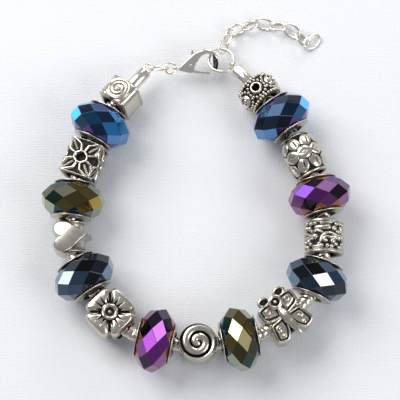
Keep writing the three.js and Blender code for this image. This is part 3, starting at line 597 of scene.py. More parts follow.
def knot_ground(x, angle, radius):
    wires = np.full(np.shape(x), FAR)
    for phase in (0.0, math.pi):
        wave = KNOT["wave"] * np.cos(KNOT["waves"] * angle + phase)
        wires = np.minimum(wires, np.abs(x - 0.1 - wave) * BAND_LEAN)
    band = bump(wires, 1.25)
    leaves, slots = np.zeros(np.shape(x)), np.full(np.shape(x), FAR)
    for index in range(KNOT["leaves"]):
        side = radius * apart(angle, 360 / KNOT["leaves"] * (index + 0.5))
        for sign in (-1, 1):
            out = sign * x - KNOT["leaf"]
            tilted = side - 0.22 * out * (-1) ** index
            leaves = np.maximum(leaves, bump(np.hypot(out / 1.7, tilted / 1.4), 2.0))
            slots = np.minimum(slots, np.hypot(np.clip(np.abs(out) - 0.55, 0, FAR), tilted - 0.3))
    ends = rise(np.abs(x), 4.15, 4.35)
    top = np.maximum.reduce([band, 0.85 * leaves**0.6, ends])
    slot = rise(-slots, -0.2, -0.08) * (1 - band) * (leaves > 0.3)
    edges = 0.9 * bump(wires - 0.7, 0.26)
    height = 0.5 * top - 0.35 * slot
    return height, np.clip(rise(-top, -0.66, -0.3) + slot + edges, 0, 1)


knot = Casting("leaf_bead")
around(knot, KNOT["length"], columns=320, rows=120, outline=egg, relief=knot_ground, fillet=0.3)
knot.charm("leaf_knot")

# %% [markdown]
# ## The granulated bead
#
# Six round rims stand round a short barrel. Every second one is an open socket with a black hole, and
# the others hold a dome. Granules circle each rim and follow both edges of the bead. A jeweller solders
# real granules on, so here too they are small balls and rings set on the barrel, not a pattern on it.

# %% The granulated bead
GRAIN = {"length": 5.4, "radius": 3.7, "rims": 6, "turn": 9, "count": 15, "reach": 1.95, "edge": 30,
         "rim": 1.08, "size": 0.37}


def rim_at(index):
    """Where a rim stands round the bead, in degrees."""
    return -GRAIN["turn"] - 360 / GRAIN["rims"] * index


def granulated_ground(x, angle, radius):
    height = np.zeros(np.shape(x))
    patina = np.full(np.shape(x), 0.9)
    for index in range(GRAIN["rims"]):
        middle = np.hypot(x, radius * apart(angle, rim_at(index)))
        near, inside = middle < 1.25, rise(-middle, -0.95, -0.8)
        height = np.where(near, 0.7 - (1.5 if index % 2 == 0 else 0.5) * inside, height)
        patina = np.where(near, 1.0 * (middle < 0.95), patina)
    return height, patina


def granule(x, turn, raised):
    """A granule with its middle a little above the barrel."""
    out = GRAIN["radius"] + raised
    granulated.ball((x, -out * math.sin(turn), out * math.cos(turn)), GRAIN["size"])


granulated = Casting("granulated_bead")
around(granulated, GRAIN["length"], columns=320, rows=84, outline=drum(GRAIN["radius"]),
       relief=granulated_ground, fillet=0.2)
for rim in range(GRAIN["rims"]):
    centre = math.radians(rim_at(rim))
    stand = Matrix.Rotation(centre, 4, "X") @ Matrix.Translation((0, 0, GRAIN["radius"] + 0.72))
    granulated.ring(stand, GRAIN["rim"], wire=0.5, steps=36, sides=10)
    if rim % 2:
        granulated.lump(stand @ Matrix.Translation((0, 0, -0.3)) @ Matrix.Diagonal((0.66, 0.66, 0.6, 1)))
    for grain in range(GRAIN["count"]):
        angle = math.tau * grain / GRAIN["count"]
        turn = centre + GRAIN["reach"] * math.sin(angle) / GRAIN["radius"]
        granule(GRAIN["reach"] * math.cos(angle), turn, 0.2)
for sign in (-1, 1):
    for grain in range(GRAIN["edge"]):
        granule(sign * (GRAIN["length"] / 2 - 0.25), math.tau * grain / GRAIN["edge"], 0.02)
granulated.charm("granulated")

# %% [markdown]
# ## Charms that lie flat
#
# The heart, the flower, the coil and the butterfly are thick plates whose shape is seen from above.
# Here the grid runs from the middle of the top face out to the rim, down the side and back to the
# middle of the underside. The string passes through them from side to side, so a hole is cut last in
# the heart, the flower and the coil.

# %% A plate with an outline, a rounded rim and relief on both faces
# The relief ends just inside the outline and fades out over a short way, both as shares of the
# outline. The rim beyond it has a patina of its own.
RELIEF_ENDS, RELIEF_FADES, RIM_PATINA = 0.97, 0.07, 0.2


def slab(bead, columns, stations, outline, relief):
    """stations are (share of the outline, height) from the top's middle to the underside's.
    relief(x, y) gives the height that is added to a face and the patina."""
    shares = np.array([share for share, _ in stations])
    levels = np.array([level for _, level in stations])
    last = len(stations) - 1

    def shape(u, v):
        row = np.rint((1 - v) * last).astype(int)
        rim_x, rim_y = outline(u)
        x, y = rim_x * shares[row], rim_y * shares[row]
        height, patina = relief(x, y)
        sign = np.sign(levels[row])
        z = levels[row] + sign * height * np.clip((RELIEF_ENDS - shares[row]) / RELIEF_FADES, 0, 1)
        return (x, y, z), np.where(shares[row] < RELIEF_ENDS, patina, RIM_PATINA)

    bead.sheet(columns, last, shape)


def stations(half, rounding, edge, face_rows=60, rim_rows=10, wall_rows=4):
    """Rows for a face, a rounded rim, a wall, and the same again below."""
    face = [(edge * i / face_rows, half) for i in range(face_rows + 1)]
    turns = [math.pi / 2 * i / rim_rows for i in range(1, rim_rows + 1)]
    rim = [(edge + (1 - edge) * math.sin(turn), half - rounding * (1 - math.cos(turn))) for turn in turns]
    wall = [(1.0, (half - rounding) * (1 - 2 * i / wall_rows)) for i in range(1, wall_rows)]
    top = face + rim
    return top + wall + [(share, -level) for share, level in reversed(top)]


def drill(piece, place, length=12):
    """Cuts the hole for the string."""
    cutter = bmesh.new()
    bmesh.ops.create_cone(cutter, cap_ends=True, segments=40, radius1=HOLE, radius2=HOLE, depth=length)
    bmesh.ops.transform(cutter, matrix=place @ Matrix.Rotation(math.pi / 2, 4, "Y"), verts=cutter.verts)
    tool = add_object("drill", to_data(cutter, "drill"))
    cut = piece.modifiers.new("hole", "BOOLEAN")
    cut.operation, cut.solver, cut.object = "DIFFERENCE", "MANIFOLD", tool
    evaluated = piece.evaluated_get(bpy.context.evaluated_depsgraph_get())
    bored = bpy.data.meshes.new_from_object(evaluated)
    piece.modifiers.remove(cut)
    piece.data = bored
    bpy.data.objects.remove(tool)
    print("bored:", piece.name, len(bored.polygons))


# %% [markdown]
# ## The heart
#
# A thick, polished heart with a well rounded rim, a low dome on its face and hardly any black. Its
# point looks to the inside of the loop. The barrel that carries it shows beside its lobes, with a
# narrow band at each end. A heart could be sculpted, but a known curve gives a clean outline at once.

# %% The heart
HEART = {"length": 7.4, "width": 8.3, "thickness": 8.2, "dome": 0.5}
DOME_REACH = (3.5, 3.9)


def heart_outline(u):
    turn = math.tau * u
    x = np.sin(turn) ** 3
    lobes = 13 * np.cos(turn) - 5 * np.cos(2 * turn) - 2 * np.cos(3 * turn) - np.cos(4 * turn)
    y = -lobes / 14.5 - 0.14
    return x * HEART["length"] / 2, y * HEART["width"] / 2


def heart_face(x, y):
    dome = np.clip(1 - (x / DOME_REACH[0]) ** 2 - (y / DOME_REACH[1]) ** 2, 0, 1)
    return HEART["dome"] * dome, 0.02 + 0 * x


heart = Casting("puffed_heart")
heart_rows = stations(HEART["thickness"] / 2 - 0.55, rounding=1.2, edge=0.8, face_rows=40, rim_rows=20)
slab(heart, 200, heart_rows, heart_outline, heart_face)
drill(heart.charm("heart"), seat("heart"))

# %% The barrel of the heart
barrel = Casting("heart_barrel")
BAND = [(3.4, HOLE), (3.4, 2.85), (3.3, 3.0), (3.1, 3.0), (3.0, 2.85), (2.0, 2.75)]
BAND_PATINA = [0.6, 0.1, 0, 0, 0.7, 0.3]
barrel.turned(both_ends(BAND), patina=BAND_PATINA + BAND_PATINA[::-1])
barrel.charm("heart")

# %% [markdown]
# ## The flower
#
# Four broad petals meet in deep notches. A ring round a small dome stands in the middle, and short
# black grooves run out from it. The petals bulge round the grooves and fall away to a plain wall.
# Each petal could be a body of its own, but one outline keeps the notches narrow and clean.

# %% The flower
FLOWER = {"thickness": 7.4, "turn": math.radians(3), "grooves": 16, "ring": 1.4, "grooves_from": 1.9}
# One side of a petal: degrees from its middle, and how far it reaches there.
PETAL = [(0, 5.0), (6, 5.02), (12, 5.1), (18, 5.24), (23, 5.36), (27, 5.42), (31, 5.42), (35, 5.34),
         (38, 5.2), (41, 4.95), (43, 4.65), (45, 4.3)]
QUARTER = math.pi / 2


def flower_outline(u):
    angle = math.tau * u
    off_petal = np.abs((angle - FLOWER["turn"] + QUARTER / 2) % QUARTER - QUARTER / 2)
    reach = np.interp(np.degrees(off_petal), *zip(*PETAL))
    return reach * np.cos(angle), reach * np.sin(angle)


def flower_face(x, y):
    middle, angle = np.hypot(x, y), np.arctan2(y, x) - FLOWER["turn"]
    step = math.tau / FLOWER["grooves"]
    off_groove = (angle + math.tau) % step - step / 2
    spent = np.clip((middle - FLOWER["grooves_from"]) / (1.6 + 0.35 * np.cos(4 * angle)), 0, 1)
    groove = rise(0.25 * (1 - spent) + 0.02 - middle * np.abs(off_groove), -0.05, 0.06)
    groove = groove * (spent < 1) * (spent > 0)
    off_notch = (angle + math.tau) % QUARTER - QUARTER / 2
    aside = middle * np.abs(np.sin(off_notch))
    notch = rise(-aside, -0.34, -0.1) * rise(middle, 1.9, 2.1)
    ring = bump(middle - FLOWER["ring"], 0.9)
    pit = rise(-middle, -0.98, -0.85)
    dome = bump(middle, 0.9)
    swell = np.sin(np.clip((middle - 1.2) / 4.2, 0, 1) * math.pi)
    puff = 0.5 * swell**0.8 * rise(aside, 0.0, 1.1)
    height = puff + 0.55 * ring - 0.3 * groove - 0.6 * notch - 0.25 * pit + 0.25 * dome
    seat_dark = 0.9 * bump(middle - 1.95, 0.3)
    return height, np.clip(groove + 1.1 * notch + pit - 0.6 * dome + seat_dark, 0, 1)


flower = Casting("flower_charm")
flower_rows = stations(FLOWER["thickness"] / 2, rounding=0.9, edge=0.86, face_rows=70)
slab(flower, 320, flower_rows, flower_outline, flower_face)
drill(flower.charm("flower"), seat("flower"), 14)

# %% [markdown]
# ## The coil
#
# A round drum whose top is one thick wire, wound from the middle to the rim. The gap between its
# turns is deep and black and widens outwards. A real wire could be bent along a spiral curve, but this
# bead is cast in one piece, so the turns are a relief on the drum and meet it without a seam.

# %% The coil
COIL = {"radius": 4.1, "thickness": 7.0, "pitch": 2.0, "turn": 0.29, "gap": 0.10, "widens": 0.055}


def coil_outline(u):
    angle = math.tau * u
    return COIL["radius"] * np.cos(angle), COIL["radius"] * np.sin(angle)


def coil_face(x, y):
    middle = np.hypot(x, y)
    gap = off_spiral(x, y, COIL["pitch"], COIL["turn"], hand=-1)
    width = COIL["gap"] + COIL["widens"] * middle
    groove = rise(-gap, -width - 0.1, -width + 0.05) * rise(middle, 0.25, 0.5)
    crown = bump(COIL["pitch"] / 2 - gap, COIL["pitch"])
    outer = rise(-middle, -3.9, -3.5)
    return 0.8 * crown * outer - 0.4 * groove, np.clip(groove * 1.1, 0, 1)


coil = Casting("coil_charm")
coil_rows = stations(COIL["thickness"] / 2, rounding=0.6, edge=0.93, face_rows=84, rim_rows=8)
slab(coil, 240, coil_rows, coil_outline, coil_face)
drill(coil.charm("swirl_disc"), seat("swirl_disc"))

# %% [markdown]
# ## The butterfly
#
# A thick charm cut to the outline of a butterfly. Each wing is a raised rim with a curl or a small
# ring inside it, the body is a long smooth ridge, and the head is a ring with a dome. Two feeler
# loops stand above the head. A slab needs an outline that its middle sees whole, and no butterfly has
# one, so the wings are four slabs that sink into a common middle.

# %% The wings
# Half of the butterfly's thickness, and the relief of its wings.
HALF = 6.9 / 2
WING = {"rim": 0.55, "rim_in": 0.28, "wire": 0.5, "line": 0.62, "relief": 0.42}
FORE_WING = [(0.35, 4.0), (1.3, 4.6), (2.7, 4.7), (4.2, 4.3), (4.5, 3.0), (4.2, 1.3), (2.8, 0.6), (0.4, 0.5)]
HIND_WING = [(0.35, 0.3), (2.2, 0.4), (3.8, 0.1), (4.4, -1.8), (4.7, -3.6), (3.6, -4.4), (2.1, -4.5),
             (1.0, -3.2), (0.35, -1.5)]


def closed_curve(points, steps=24):
    """Points on a smooth closed curve, and how far along it each lies, from 0 to 1."""
    fine = []
    number = len(points)
    for i in range(number):
        p0, p1, p2, p3 = (np.array(points[(i + k) % number]) for k in (-1, 0, 1, 2))
        for t in np.linspace(0, 1, steps, endpoint=False):
            fine.append(0.5 * (2 * p1 + (p2 - p0) * t + (2 * p0 - 5 * p1 + 4 * p2 - p3) * t**2
                               + (3 * p1 - p0 - 3 * p2 + p3) * t**3))
    fine = np.array(fine + fine[:1])
    along = np.concatenate([[0], np.cumsum(np.hypot(*np.diff(fine, axis=0).T))])
    return fine, along / along[-1]


def wing(bead, points, side, half, marks):
    """One wing: side is 1 or -1, and marks gives the wire distances and dots inside its rim."""
    fine, share = closed_curve(points)
    centre = np.mean(fine[:-1], axis=0)
    rim_line = [tuple(p) for p in fine[::4]]

    def outline(u):
        return np.interp(u, share, fine[:, 0]) - centre[0], np.interp(u, share, fine[:, 1]) - centre[1]

    def relief(x, y):
        x, y = x + centre[0], y + centre[1]
        edge = off_line(x, y, rim_line)
        rim = bump(np.clip(edge - WING["rim_in"], 0, FAR), WING["rim"])
        wires, dots = marks(x, y)
        top = np.maximum(rim, 0.9 * np.maximum(bump(wires, WING["wire"]), dots))
        near = rise(-np.minimum(np.abs(edge - WING["line"]), wires), -0.38, -0.2)
        return WING["relief"] * top - 0.1, np.clip(0.95 - 1.7 * top, 0, 1) * (0.1 + 0.9 * near)

    part = Casting("part")
    rows = stations(half - 0.1, rounding=0.25, edge=0.965, face_rows=40, rim_rows=5, wall_rows=3)
    slab(part, 150, rows, outline, relief)
    place = Matrix.Diagonal((side, 1, 1, 1)) @ Matrix.Translation((*centre, 0))
    bmesh.ops.transform(part.mesh, matrix=place, verts=part.mesh.verts)
    bmesh.ops.recalc_face_normals(part.mesh, faces=part.mesh.faces)
    bead.join(part.mesh)


def fore_marks(x, y):
    middle = np.hypot(x - 2.5, y - 3.0)
    bars = off_line(x, y, [(1.6, 1.5), (2.6, 1.75), (3.6, 2.2)])
    return np.minimum(np.abs(middle - 0.5), bars), bump(middle, 0.4)


def hind_marks(x, y):
    curl = off_line(x, y, hook(2.7, -1.5, 0.8, 60, 400))
    arm = off_line(x, y, [(3.3, -1.9), (3.6, -3.1)])
    return np.minimum(curl, arm), bump(np.hypot(x - 2.6, y + 3.2), 1.0)


butterfly = Casting("butterfly_charm")
for side in (1, -1):
    wing(butterfly, FORE_WING, side, HALF, fore_marks)
    wing(butterfly, HIND_WING, side, HALF - 0.15, hind_marks)
print("wings:", len(butterfly.mesh.faces), "faces")

# %% The body, the head and the feelers
BODY = Matrix.Translation((0.15, -1.1, HALF + 0.15)) @ Matrix.Rotation(math.radians(5), 4, "Z")
HEAD_Y, FEELER_X, FEELER_Y = 3.8, 2.0, 5.2
butterfly.block(Matrix.Diagonal((2.6, 6.4, 2 * HALF - 0.6, 1)), patina=1.0)
butterfly.lump(BODY @ Matrix.Diagonal((0.92, 4.1, 1.0, 1)))
butterfly.lump(BODY @ Matrix.Translation((0, 0.9, 0)) @ Matrix.Diagonal((1.15, 2.5, 1.2, 1)))
butterfly.ring(Matrix.Translation((0, HEAD_Y - 0.05, HALF + 0.5)), 1.25, wire=0.8, steps=40)
butterfly.ball((0, HEAD_Y, HALF + 0.2), 0.95, patina=0.9, squash=0.4, fine=3)
butterfly.ball((0, HEAD_Y, HALF + 0.35), 0.42, patina=0.3, squash=0.8, fine=3)
for side in (1, -1):
    loop = Matrix.Translation((side * FEELER_X, FEELER_Y, HALF - 0.1)) @ Matrix.Diagonal((1.15, 0.85, 1.5, 1))
    butterfly.ring(loop, 1.0, wire=0.62, steps=36)
    butterfly.ball((side * FEELER_X, FEELER_Y, HALF - 0.35), 0.9, patina=1.0, squash=0.3)
butterfly.charm("butterfly")

# %% [markdown]
# ## The silver cores
#
# Each rondelle has a silver tube through it that ends in a shallow dish on both sides. The dish
# leaves a thin black gap to the glass. A core is round about the string, so one closed profile that
# is spun about it says all.

# %% The cores of the rondelles
GLASS_BEADS = {"blue_left": "blue", "green_left": "green", "steel_left": "steel", "purple_front": "purple",
               "green_front": "green", "steel_right": "steel", "purple_right": "purple", "blue_right": "blue"}
DISH = [(4.2, HOLE), (4.22, 2.75), (4.14, 3.1), (4.04, 3.6), (3.97, 4.1), (3.92, 4.45), (3.82, 4.52),
        (3.72, 4.48), (3.68, 4.3), (3.67, 3.8), (3.66, 3.3), (3.66, 3.0)]
DISH_PATINA = [0.5, 0.1, 0.2, 0.1, 0, 0, 0, 0, 0.3, 0.8, 1, 1]
for name in GLASS_BEADS:
    core = Casting("plates_" + name)
    core.turned(both_ends(DISH), steps=72, patina=DISH_PATINA + DISH_PATINA[::-1])
    core.finish(seat(name), ANTIQUE, "core_" + name, "antique")

# %% [markdown]
# ## The faceted rondelles
#
# A rondelle is cut with rows of rhombic facets. The points of the rows are the corners of a convex
# shape, so the hull operator finds the facets, and a very small bevel gives the edges a line of light.
# The facets could be cut one by one from a round bead, but a table of points is shorter and exact.

# %% The cut of a rondelle
# Each row of points: its share of the width and of the radius, and 1 where it is turned half a facet.
ROWS = [(0.0, 0.624, 0), (0.17, 0.857, 1), (0.38, 1.0, 0), (0.62, 1.0, 1), (0.83, 0.857, 0), (1.0, 0.624, 1)]
GLASS_SIZE = {"radius": 7.0, "width": 7.15, "facets": 8, "edge": 0.05, "turn": 0.25}
TURNED = ("green_left", "purple_front", "steel_right", "blue_right")


def cut_glass(name):
    """The mesh data of one rondelle, in its bead's place."""
    mesh = bmesh.new()
    step = math.tau / GLASS_SIZE["facets"]
    for across, share, turned in ROWS:
        x, radius = (across - 0.5) * GLASS_SIZE["width"], share * GLASS_SIZE["radius"]
        for i in range(GLASS_SIZE["facets"]):
            angle = (i + GLASS_SIZE["turn"] + (turned + (name in TURNED)) / 2) * step
            mesh.verts.new((x, radius * math.cos(angle), radius * math.sin(angle)))
    bmesh.ops.convex_hull(mesh, input=mesh.verts)
    bmesh.ops.dissolve_limit(mesh, angle_limit=math.radians(4), verts=mesh.verts, edges=mesh.edges)
    bmesh.ops.bevel(mesh, geom=mesh.edges, offset=GLASS_SIZE["edge"], affect="EDGES", segments=1,
                    profile=0.5, material=-1)
    bmesh.ops.recalc_face_normals(mesh, faces=mesh.faces)
    bmesh.ops.transform(mesh, matrix=seat(name), verts=mesh.verts)
    return to_data(mesh, "rondelle_" + name)


print("points of a rondelle:", len(ROWS) * GLASS_SIZE["facets"])

# %% [markdown]
# ## The colours of the facets
#
# On the real glass each facet throws back another colour of its coating. A texture would blur them
# over the edges, so the colours go on the mesh. Every facet draws one from its bead's palette, by a
# seeded random number. The lower facets lean towards a paler tone, a painted reflection of the cloth,
# and the ends towards a painted reflection of the plates. The upper facets get painted shade. A few
# facets are chosen one by one, because the eye goes to them first: most are painted highlights, and
# some are nearly black, painted dark reflections.

# %% The palettes
# Each palette: the coating's own facet colours, a rim colour that is a painted reflection of the cloth, and a
# plate colour that is a painted reflection of the silver plates.
COLOURS = {
    "blue": {"facets": [(0.008, 0.085, 0.24), (0.012, 0.17, 0.4), (0.006, 0.02, 0.06), (0.02, 0.2, 0.5),
                        (0.01, 0.05, 0.14)],
             "rim": (0.12, 0.34, 0.66), "plate": (0.12, 0.03, 0.22)},
    "green": {"facets": [(0.07, 0.06, 0.012), (0.13, 0.1, 0.02), (0.012, 0.05, 0.042), (0.03, 0.025, 0.01),
                         (0.2, 0.15, 0.03), (0.01, 0.03, 0.06)],
              "rim": (0.42, 0.5, 0.38), "plate": (0.02, 0.05, 0.1)},
    "steel": {"facets": [(0.012, 0.02, 0.03), (0.03, 0.055, 0.1), (0.004, 0.005, 0.008), (0.02, 0.035, 0.06)],
              "rim": (0.22, 0.32, 0.46), "plate": (0.03, 0.04, 0.06)},
    "purple": {"facets": [(0.14, 0.02, 0.19), (0.02, 0.005, 0.03), (0.2, 0.05, 0.22), (0.006, 0.004, 0.008),
                          (0.09, 0.02, 0.2)],
               "rim": (0.34, 0.12, 0.3), "plate": (0.42, 0.17, 0.03)},
}
# How far the painted reflections of the cloth and of the plates take over a facet's colour.
CLOTH_REFLECTION_SHARE, PLATE_REFLECTION_SHARE = 0.65, 0.55
# Painted shade: how bright a bead's upper facets are where it isn't 1, and the slant that mirrors
# the window upwards, whose facets are darkened further.
SHADE = {"blue_right": 0.35, "purple_right": 0.7, "green_left": 0.45, "green_front": 0.7}
MIRROR, MIRROR_SHADE = Vector((-0.316, 0.129, 0.94)), 0.3
# The chosen facets: (x, y) from the bead's middle in millimetres, and the colour of a painted
# highlight or a painted dark reflection.
PAINTED_REFLECTIONS = {
    "blue_left": [((-5.4, 1.5), (0.03, 0.42, 0.85))],
    "blue_right": [((5.2, 1.8), (0.05, 0.3, 0.75)), ((-2.3, -1.6), (0.006, 0.01, 0.02))],
    "green_left": [((4.6, -2.2), (0.2, 0.14, 0.03))],
    "green_front": [((-1.2, 0.6), (0.4, 0.4, 0.22)), ((0.6, -1.9), (0.06, 0.05, 0.015))],
    "steel_left": [((-2.5, -0.6), (0.62, 0.78, 0.9))],
    "steel_right": [((0.0, -1.3), (0.95, 0.98, 1.0))],
    "purple_front": [((-1.7, -0.3), (0.46, 0.1, 0.62)), ((1.2, 1.6), (0.62, 0.2, 0.75))],
    "purple_right": [((-2.7, 0.3), (0.32, 0.12, 0.85)), ((1.7, 0.5), (0.04, 0.01, 0.05))],
}
draw = np.random.default_rng(11)
print("palettes:", {glass: len(palette["facets"]) for glass, palette in COLOURS.items()})


# %% A colour for each facet
def facet_colour(name, facet, axis):
    """One draw from the bead's palette, with painted reflections and painted shade added by where the facet
    looks.
    """
    palette = COLOURS[GLASS_BEADS[name]]
    colour = np.array(palette["facets"][draw.integers(len(palette["facets"]))])
    # Side and lower facets: a painted reflection of the pale cloth, in the palette's rim colour.
    if facet.normal.z < 0.4:
        colour = (1 - CLOTH_REFLECTION_SHARE) * colour + CLOTH_REFLECTION_SHARE * np.array(palette["rim"])
    else:
        # Upper facets: painted shade, darker on some beads and darker still where they mirror the window.
        colour = colour * SHADE.get(name, 1) * (MIRROR_SHADE if facet.normal.dot(MIRROR) > 0.9 else 1)
    # Facets that face along the string: a painted reflection of the silver plates.
    if abs(facet.normal.dot(axis)) > 0.7:
        colour = (1 - PLATE_REFLECTION_SHARE) * colour + PLATE_REFLECTION_SHARE * np.array(palette["plate"])
    return colour


def chosen_facets(name, data):
    """The broad upper facets nearest to the bead's painted highlights and dark reflections, with their
    colours.
    """
    broad = [facet for facet in data.polygons if facet.normal.z > 0.2 and facet.area > 2e-6]
    chosen = {}
    for (x, y), colour in PAINTED_REFLECTIONS[name]:
        aim = Vector((PLACES[name][0] + x, PLACES[name][1] + y)) * MM
        chosen[min(broad, key=lambda facet: (facet.center.xy - aim).length).index] = colour
    return chosen


def colour_glass(name, data):
    tint_and_painted_light = data.attributes.new("tint_and_painted_light", "FLOAT_COLOR", "CORNER")
    painted_glow = data.attributes.new("painted_glow", "FLOAT", "FACE")
    axis = (seat(name).to_3x3() @ Vector((1, 0, 0))).normalized()
    chosen = chosen_facets(name, data)
    for facet in data.polygons:
        colour = facet_colour(name, facet, axis)
        # A chosen facet takes its painted highlight or painted dark reflection, and is marked to glow.
        if facet.index in chosen:
            colour, painted_glow.data[facet.index].value = chosen[facet.index], 1.0
        for loop in facet.loop_indices:
            tint_and_painted_light.data[loop].color = (*colour, 1)


for name, glass in GLASS_BEADS.items():
    data = cut_glass(name)
    colour_glass(name, data)
    data.materials.append(GLASS)
    rondelle = add_object("rondelle_" + name, data)
    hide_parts("glass_" + name)
    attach(rondelle, BRACELET)
print("facets on one rondelle:", len(data.polygons))

# %% [markdown]
# ## The snake chain
#
# A snake chain is a round tube of thin, interlocked plates. Their edges show as slanted ridges with a
# zigzag between two rows. The route is the one that the beads were threaded on: a smooth curve
# through a few points. A grid is wrapped round it, and its radius rises and falls with each plate.

# %% The route of the chain
SHIFT = Vector((0.816, -2.900, 6.350))
ROUTE = [(-15.5, 26.2, 1.05), (-20.0, 20.7, 0.15), (-23.8, 13.2, 0), (-27.2, 4.4, 0), (-28.1, -3.8, 0),
         (-27.7, -12.0, 0), (-24.1, -18.9, 0), (-16.4, -28.4, 0), (-8.7, -31.4, 0), (-1.1, -31.8, 0),
         (5.0, -31.4, 0), (13.6, -29.4, 0), (24.3, -20.6, 0), (26.8, -13.0, 0), (27.0, -3.8, 0),
         (25.5, 3.8, 0), (20.0, 15.6, 0), (15.3, 22.4, 0.15), (11.4, 26.9, 1.05)]


def centripetal(points, steps):
    """Points on the centripetal Catmull-Rom curve through some points, as the CAD curve is made."""
    ends = [2 * points[0] - points[1]] + points + [2 * points[-1] - points[-2]]
    line = []
    for p0, p1, p2, p3 in zip(ends, ends[1:], ends[2:], ends[3:]):
        d0, d1, d2 = (math.sqrt((b - a).length) for a, b in ((p0, p1), (p1, p2), (p2, p3)))
        t1 = ((p1 - p0) / d0 - (p2 - p0) / (d0 + d1) + (p2 - p1) / d1) * d1
        t2 = ((p2 - p1) / d1 - (p3 - p1) / (d1 + d2) + (p3 - p2) / d2) * d1
        for i in range(steps):
            t = i / steps
            line.append(p1 + t1 * t + (3 * (p2 - p1) - 2 * t1 - t2) * t**2 + (2 * (p1 - p2) + t1 + t2) * t**3)
    return line + [points[-1]]


ROUTE_LINE = centripetal([Vector((x, y, -sag)) + SHIFT for x, y, sag in ROUTE], 40)
route_at = np.array([tuple(point) for point in ROUTE_LINE])
route_length = np.concatenate([[0], np.cumsum(np.linalg.norm(np.diff(route_at, axis=0), axis=1))])
print("chain:", round(float(route_length[-1]), 1), "mm")

# %% The chain itself
CHAIN = {"radius": 1.5, "pitch": 1.28, "groove": 0.26, "slant": 0.75, "sides": 32, "rings_a_plate": 8}
RINGS = int(route_length[-1] / CHAIN["pitch"] * CHAIN["rings_a_plate"])


def on_route(place):
    """The route's points at some lengths along it. Lengths beyond an end give that end."""
    return np.stack([np.interp(place, route_length, route_at[:, k]) for k in range(3)], 1)


def unit(vectors):
    return vectors / np.linalg.norm(vectors, axis=1, keepdims=True)


def woven(u, v):
    place = v * route_length[-1]
    run = unit(on_route(place + 0.3) - on_route(place - 0.3))
    side = unit(np.cross((0, 0, 1), run))
    angle = (u * math.tau)[:, None]
    out = np.cos(angle) * side + np.sin(angle) * np.cross(run, side)
    zigzag = np.abs((2 * u) % 1 - 0.5) * 2
    crest = bump((place / CHAIN["pitch"] + CHAIN["slant"] * zigzag) % 1 - 0.5, 1.02)
    radius = CHAIN["radius"] - CHAIN["groove"] * (1 - crest)
    at_end = (v < 1e-6) | (v > 1 - 1e-6)
    points = on_route(place) + out * np.where(at_end, 0, radius)[:, None]
    return tuple(points.T), np.clip(0.9 - 1.25 * crest, 0, 1)


chain = Casting("snake_chain_woven")
chain.sheet(CHAIN["sides"], RINGS, woven)
chain.finish(Matrix.Scale(MM, 4), ANTIQUE, "snake_chain", "antique")

# %% [markdown]
# ## Caps, rings and links
#
# The chain ends in two smooth tubes with a small eye each. A big ring, a small ring and an oval link
# join them to the clasp, and nine plain oval links hang from the big ring. The solids already lie in
# the right places, so a link's middle and its axes are read from its solid.

# %% The caps at the chain's ends
TUBE = [(0, 0.9), (0, 1.35), (0.05, 1.5), (0.14, 1.55), (4.5, 1.55), (4.62, 1.5), (4.68, 1.38), (4.7, 0.8),
        (4.6, 0.02), (0.4, 0.02)]
for name, upright in (("end_cap_left", False), ("end_cap_right", True)):
    cap = Casting("tube_" + name)
    cap.turned(TUBE, steps=56)
    loop = Matrix.Translation((5.81, 0, 0)) @ Matrix.Rotation(math.pi / 2 * upright, 4, "X")
    cap.ring(loop, 1.0, wire=0.46, steps=40)
    cap.finish(seat(name), BRIGHT, name, "bright")


# %% Rings and links, from the middle and the axes of their solids
def lie_of(node):
    """A link's own frame in millimetres, X along it and Z square to it, and its length and width."""
    points = np.array([vertex.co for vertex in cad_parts[node].data.vertices]) / MM
    middle = points.mean(0)
    _, _, axes = np.linalg.svd(points - middle, full_matrices=False)
    along, across = Vector(axes[0]), Vector(axes[1])
    turn = Matrix((along, across, along.cross(across))).transposed().to_4x4()
    return Matrix.Translation(Vector(middle)) @ turn, np.ptp(points @ axes[0]), np.ptp(points @ axes[1])


def link(name, node, wire):
    """A round ring, stretched to the oval of its solid. Its wire keeps its thickness."""
    place, length, width = lie_of(node)
    made = Casting(name)
    made.ring(Matrix.Identity(4), 1.0, wire, steps=64, sides=14)
    for vertex in made.mesh.verts:
        radius = math.hypot(vertex.co.x, vertex.co.y)
        x, y = vertex.co.x / radius, vertex.co.y / radius
        vertex.co.x = x * ((length - wire) / 2 + radius - 1)
        vertex.co.y = y * ((width - wire) / 2 + radius - 1)
    made.finish(Matrix.Scale(MM, 4) @ place, BRIGHT, node, "bright")


link("big_ring", "jump_ring", wire=0.68)
link("little_ring", "small_ring", wire=0.5)
link("oval_wire", "oval_link", wire=0.5)
for number in range(1, 10):
    link(f"chain_link_{number}", f"extension_link_{number}", wire=0.52)

# %% [markdown]
# ## The lobster clasp
#
# The clasp is a flat hook with rounded edges and a slot in its root. A sprung lever turns on a pin in
# the slot, and its long end closes the hook. The hook and its two cheeks could be one body with a slot
# cut in it. Here they are plates cut from one smooth outline and laid side by side, which leaves the
# lever real room between the cheeks.

# %% The clasp's body
CLASP_ROLL = 28
CLASP_PLACE = (Matrix.Scale(MM, 4) @ Matrix.Translation((-3.797, 28.307, 3.245))
               @ Matrix.Rotation(math.radians(CLASP_ROLL), 4, "X"))
HOOK = [(0.0, 0.42), (1.55, 1.95), (3.05, 3.3), (4.2, 4.05), (5.4, 4.42), (6.6, 4.38), (7.7, 3.9),
        (8.5, 3.0), (8.85, 1.9), (8.8, 0.8), (8.45, -0.15), (7.95, -0.85), (7.6, -0.55), (8.05, 0.2),
        (8.2, 1.0), (8.1, 1.95), (7.55, 2.75), (6.8, 3.2), (6.0, 3.25), (5.25, 2.95), (4.6, 2.4),
        (4.1, 1.7), (3.78, 0.7), (3.6, -0.35), (3.2, -0.75), (2.4, -1.0), (1.3, -0.75), (0.0, -0.42)]
PIN = (2.6, 0.75)
PIN_PLACE = Matrix.Translation((*PIN, 0)) @ Matrix.Rotation(math.pi / 2, 4, "Y")


